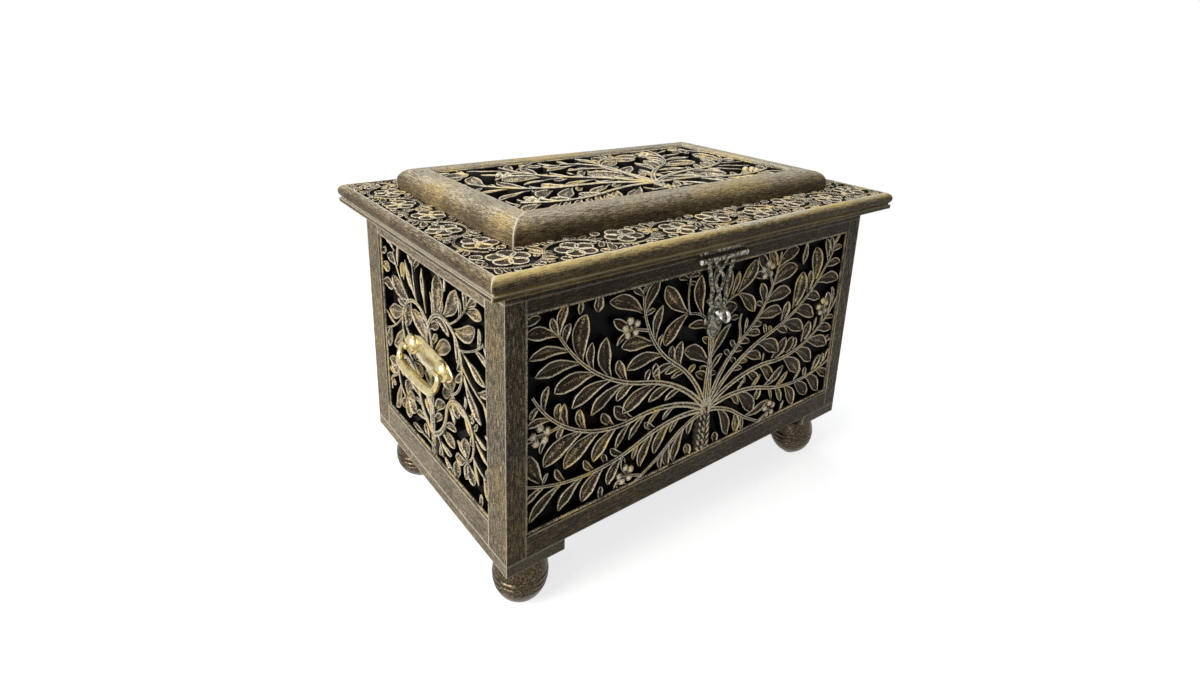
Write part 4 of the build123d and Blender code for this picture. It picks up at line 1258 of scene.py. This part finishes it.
plate_face = node_box("hasp_plate")[1][1] - PLATE_THICKNESS
for side, name in ((-1, "left"), (1, "right")):
    spun_object(f"hasp_pin_end_{name}", PIN_END, (side * pin_high[0], hinge_y, hinge_z), X * side, PIN_SIDES,
                bright_ring, "lid", "aged_brass")
for side, name in ((-1, "left"), (1, "right")):
    screw(f"hasp_screw_{name}", (side * HASP_SCREW_X, plate_face, HASP_SCREW_Z), -Y, "lid")
for body, level in (("case", CASE_SCREWS_Z), ("lid", LID_SCREWS_Z)):
    leaf_face = node_box(f"{body}_hinge_leaves")[0][1] + PLATE_THICKNESS
    for i, x in enumerate(HINGE_SCREWS_X):
        screw(f"{body}_hinge_screw_{i}", (x, leaf_face, level), Y, body)

# %% [markdown]
# ## Finishes of the boards
# Boards that stay as the frame has them get their finish here, with the brush run along their length.

# %% Board finishes
WHOLE_FINISHES = (
    ("corner_post", boards["bronze_board_z"]), ("backing", lacquer), ("floor_board", plain),
    ("back_panel", plain), ("lid_board", plain), ("hinge", hinge_brass), ("hasp", aged_brass),
    ("bail", polished_brass), ("handle", polished_brass), ("foot", turned_bronze), ("carved", carved_front_painted_highlight))


def finish_of(name):
    """A finish by the first word that the name holds, or a board brushed along its length."""
    for word, material in WHOLE_FINISHES:
        if word in name:
            return material
    kind = "raised" if name.startswith("raised") else "nosing" if "nosing" in name else "bronze"
    sideways = name.startswith(("left", "right")) or name.endswith(("left", "right"))
    return boards[f"{kind}_board_{'y' if sideways else 'x'}"]


for name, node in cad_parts.items():
    node.data.materials.clear()
    node.data.materials.append(finish_of(name))

# %% [markdown]
# ## Floor and light
# A pale floor fades into a white surround. A large soft light stands high on the left, a wide one
# hangs above, and a small one stands low at the front left.

# %% Floor
FLOOR_RADIUS, FADE_FROM, FADE_TO = 6.0, 0.45, 0.95
WHITE = (1.0, 1.0, 1.0)


def floor_material():
    """Matt and pale near the box and plain white farther out; light that bounces finds it darker."""
    material, tree, place = start_material("pale_floor")
    away = add(tree, "ShaderNodeVectorMath", [(0, place)], operation="LENGTH").outputs["Value"]
    seen = shown(tree)
    pale = mix_colour(tree, noise(tree, place, 40.0, 3.0), (0.40, 0.40, 0.40), (0.42, 0.42, 0.42))
    matt = add(tree, "ShaderNodeBsdfDiffuse", [("Color", mix_colour(tree, seen, (0.09, 0.09, 0.09), pale))])
    glow, white = [add(tree, "ShaderNodeEmission", [("Color", (*WHITE, 1)), ("Strength", strength)]).outputs[0]
                   for strength in (maths(tree, "MULTIPLY", seen, 0.78), total(tree, 0.1, (seen, 0.9)))]
    near = add(tree, "ShaderNodeAddShader", [(0, matt.outputs[0]), (1, glow)]).outputs[0]
    fade = spread(tree, away, FADE_FROM, FADE_TO)
    both = add(tree, "ShaderNodeMixShader", [(0, fade), (1, near), (2, white)])
    add(tree, "ShaderNodeOutputMaterial", [("Surface", both.outputs[0])])
    return material


mesh = bpy.data.meshes.new("floor")
build = bmesh.new()
bmesh.ops.create_circle(build, cap_ends=True, segments=96, radius=FLOOR_RADIUS)
build.to_mesh(mesh)
build.free()
mesh.materials.append(floor_material())
piece = bpy.data.objects.new("floor", mesh)
bpy.context.collection.objects.link(piece)

# %% Light
WARM, COOL, SHADE = (1.0, 0.97, 0.93), (0.92, 0.95, 1.0), (0.032, 0.034, 0.038)
LIT = Vector((0, 0, 0.18))


def soft_light(name, place, size, power, colour):
    """A round lamp turned towards the middle of the box."""
    light = bpy.data.lights.new(name, "AREA")
    light.shape = "DISK"
    light.size, light.energy, light.color = size, power, colour
    lamp = bpy.data.objects.new(name, light)
    lamp.location = place
    lamp.rotation_euler = (LIT - Vector(place)).to_track_quat("-Z", "Y").to_euler()
    bpy.context.collection.objects.link(lamp)


soft_light("key", (-1.75, -0.20, 1.05), 1.0, 47.0, WARM)
soft_light("top", (0.0, 0.3, 1.9), 1.4, 28.0, COOL)
soft_light("window", (-1.72, -0.99, 0.66), 0.3, 4.6, COOL)

world = bpy.data.worlds.new("studio")
bpy.context.scene.world = world
world.use_nodes = True
tree = world.node_tree
tree.nodes.clear()
sky_colour = mix_colour(tree, shown(tree), SHADE, WHITE)
sky = add(tree, "ShaderNodeBackground", [("Color", sky_colour), ("Strength", 1.0)])
add(tree, "ShaderNodeOutputWorld", [("Surface", sky.outputs[0])])
bpy.context.scene.view_settings.view_transform = "Standard"
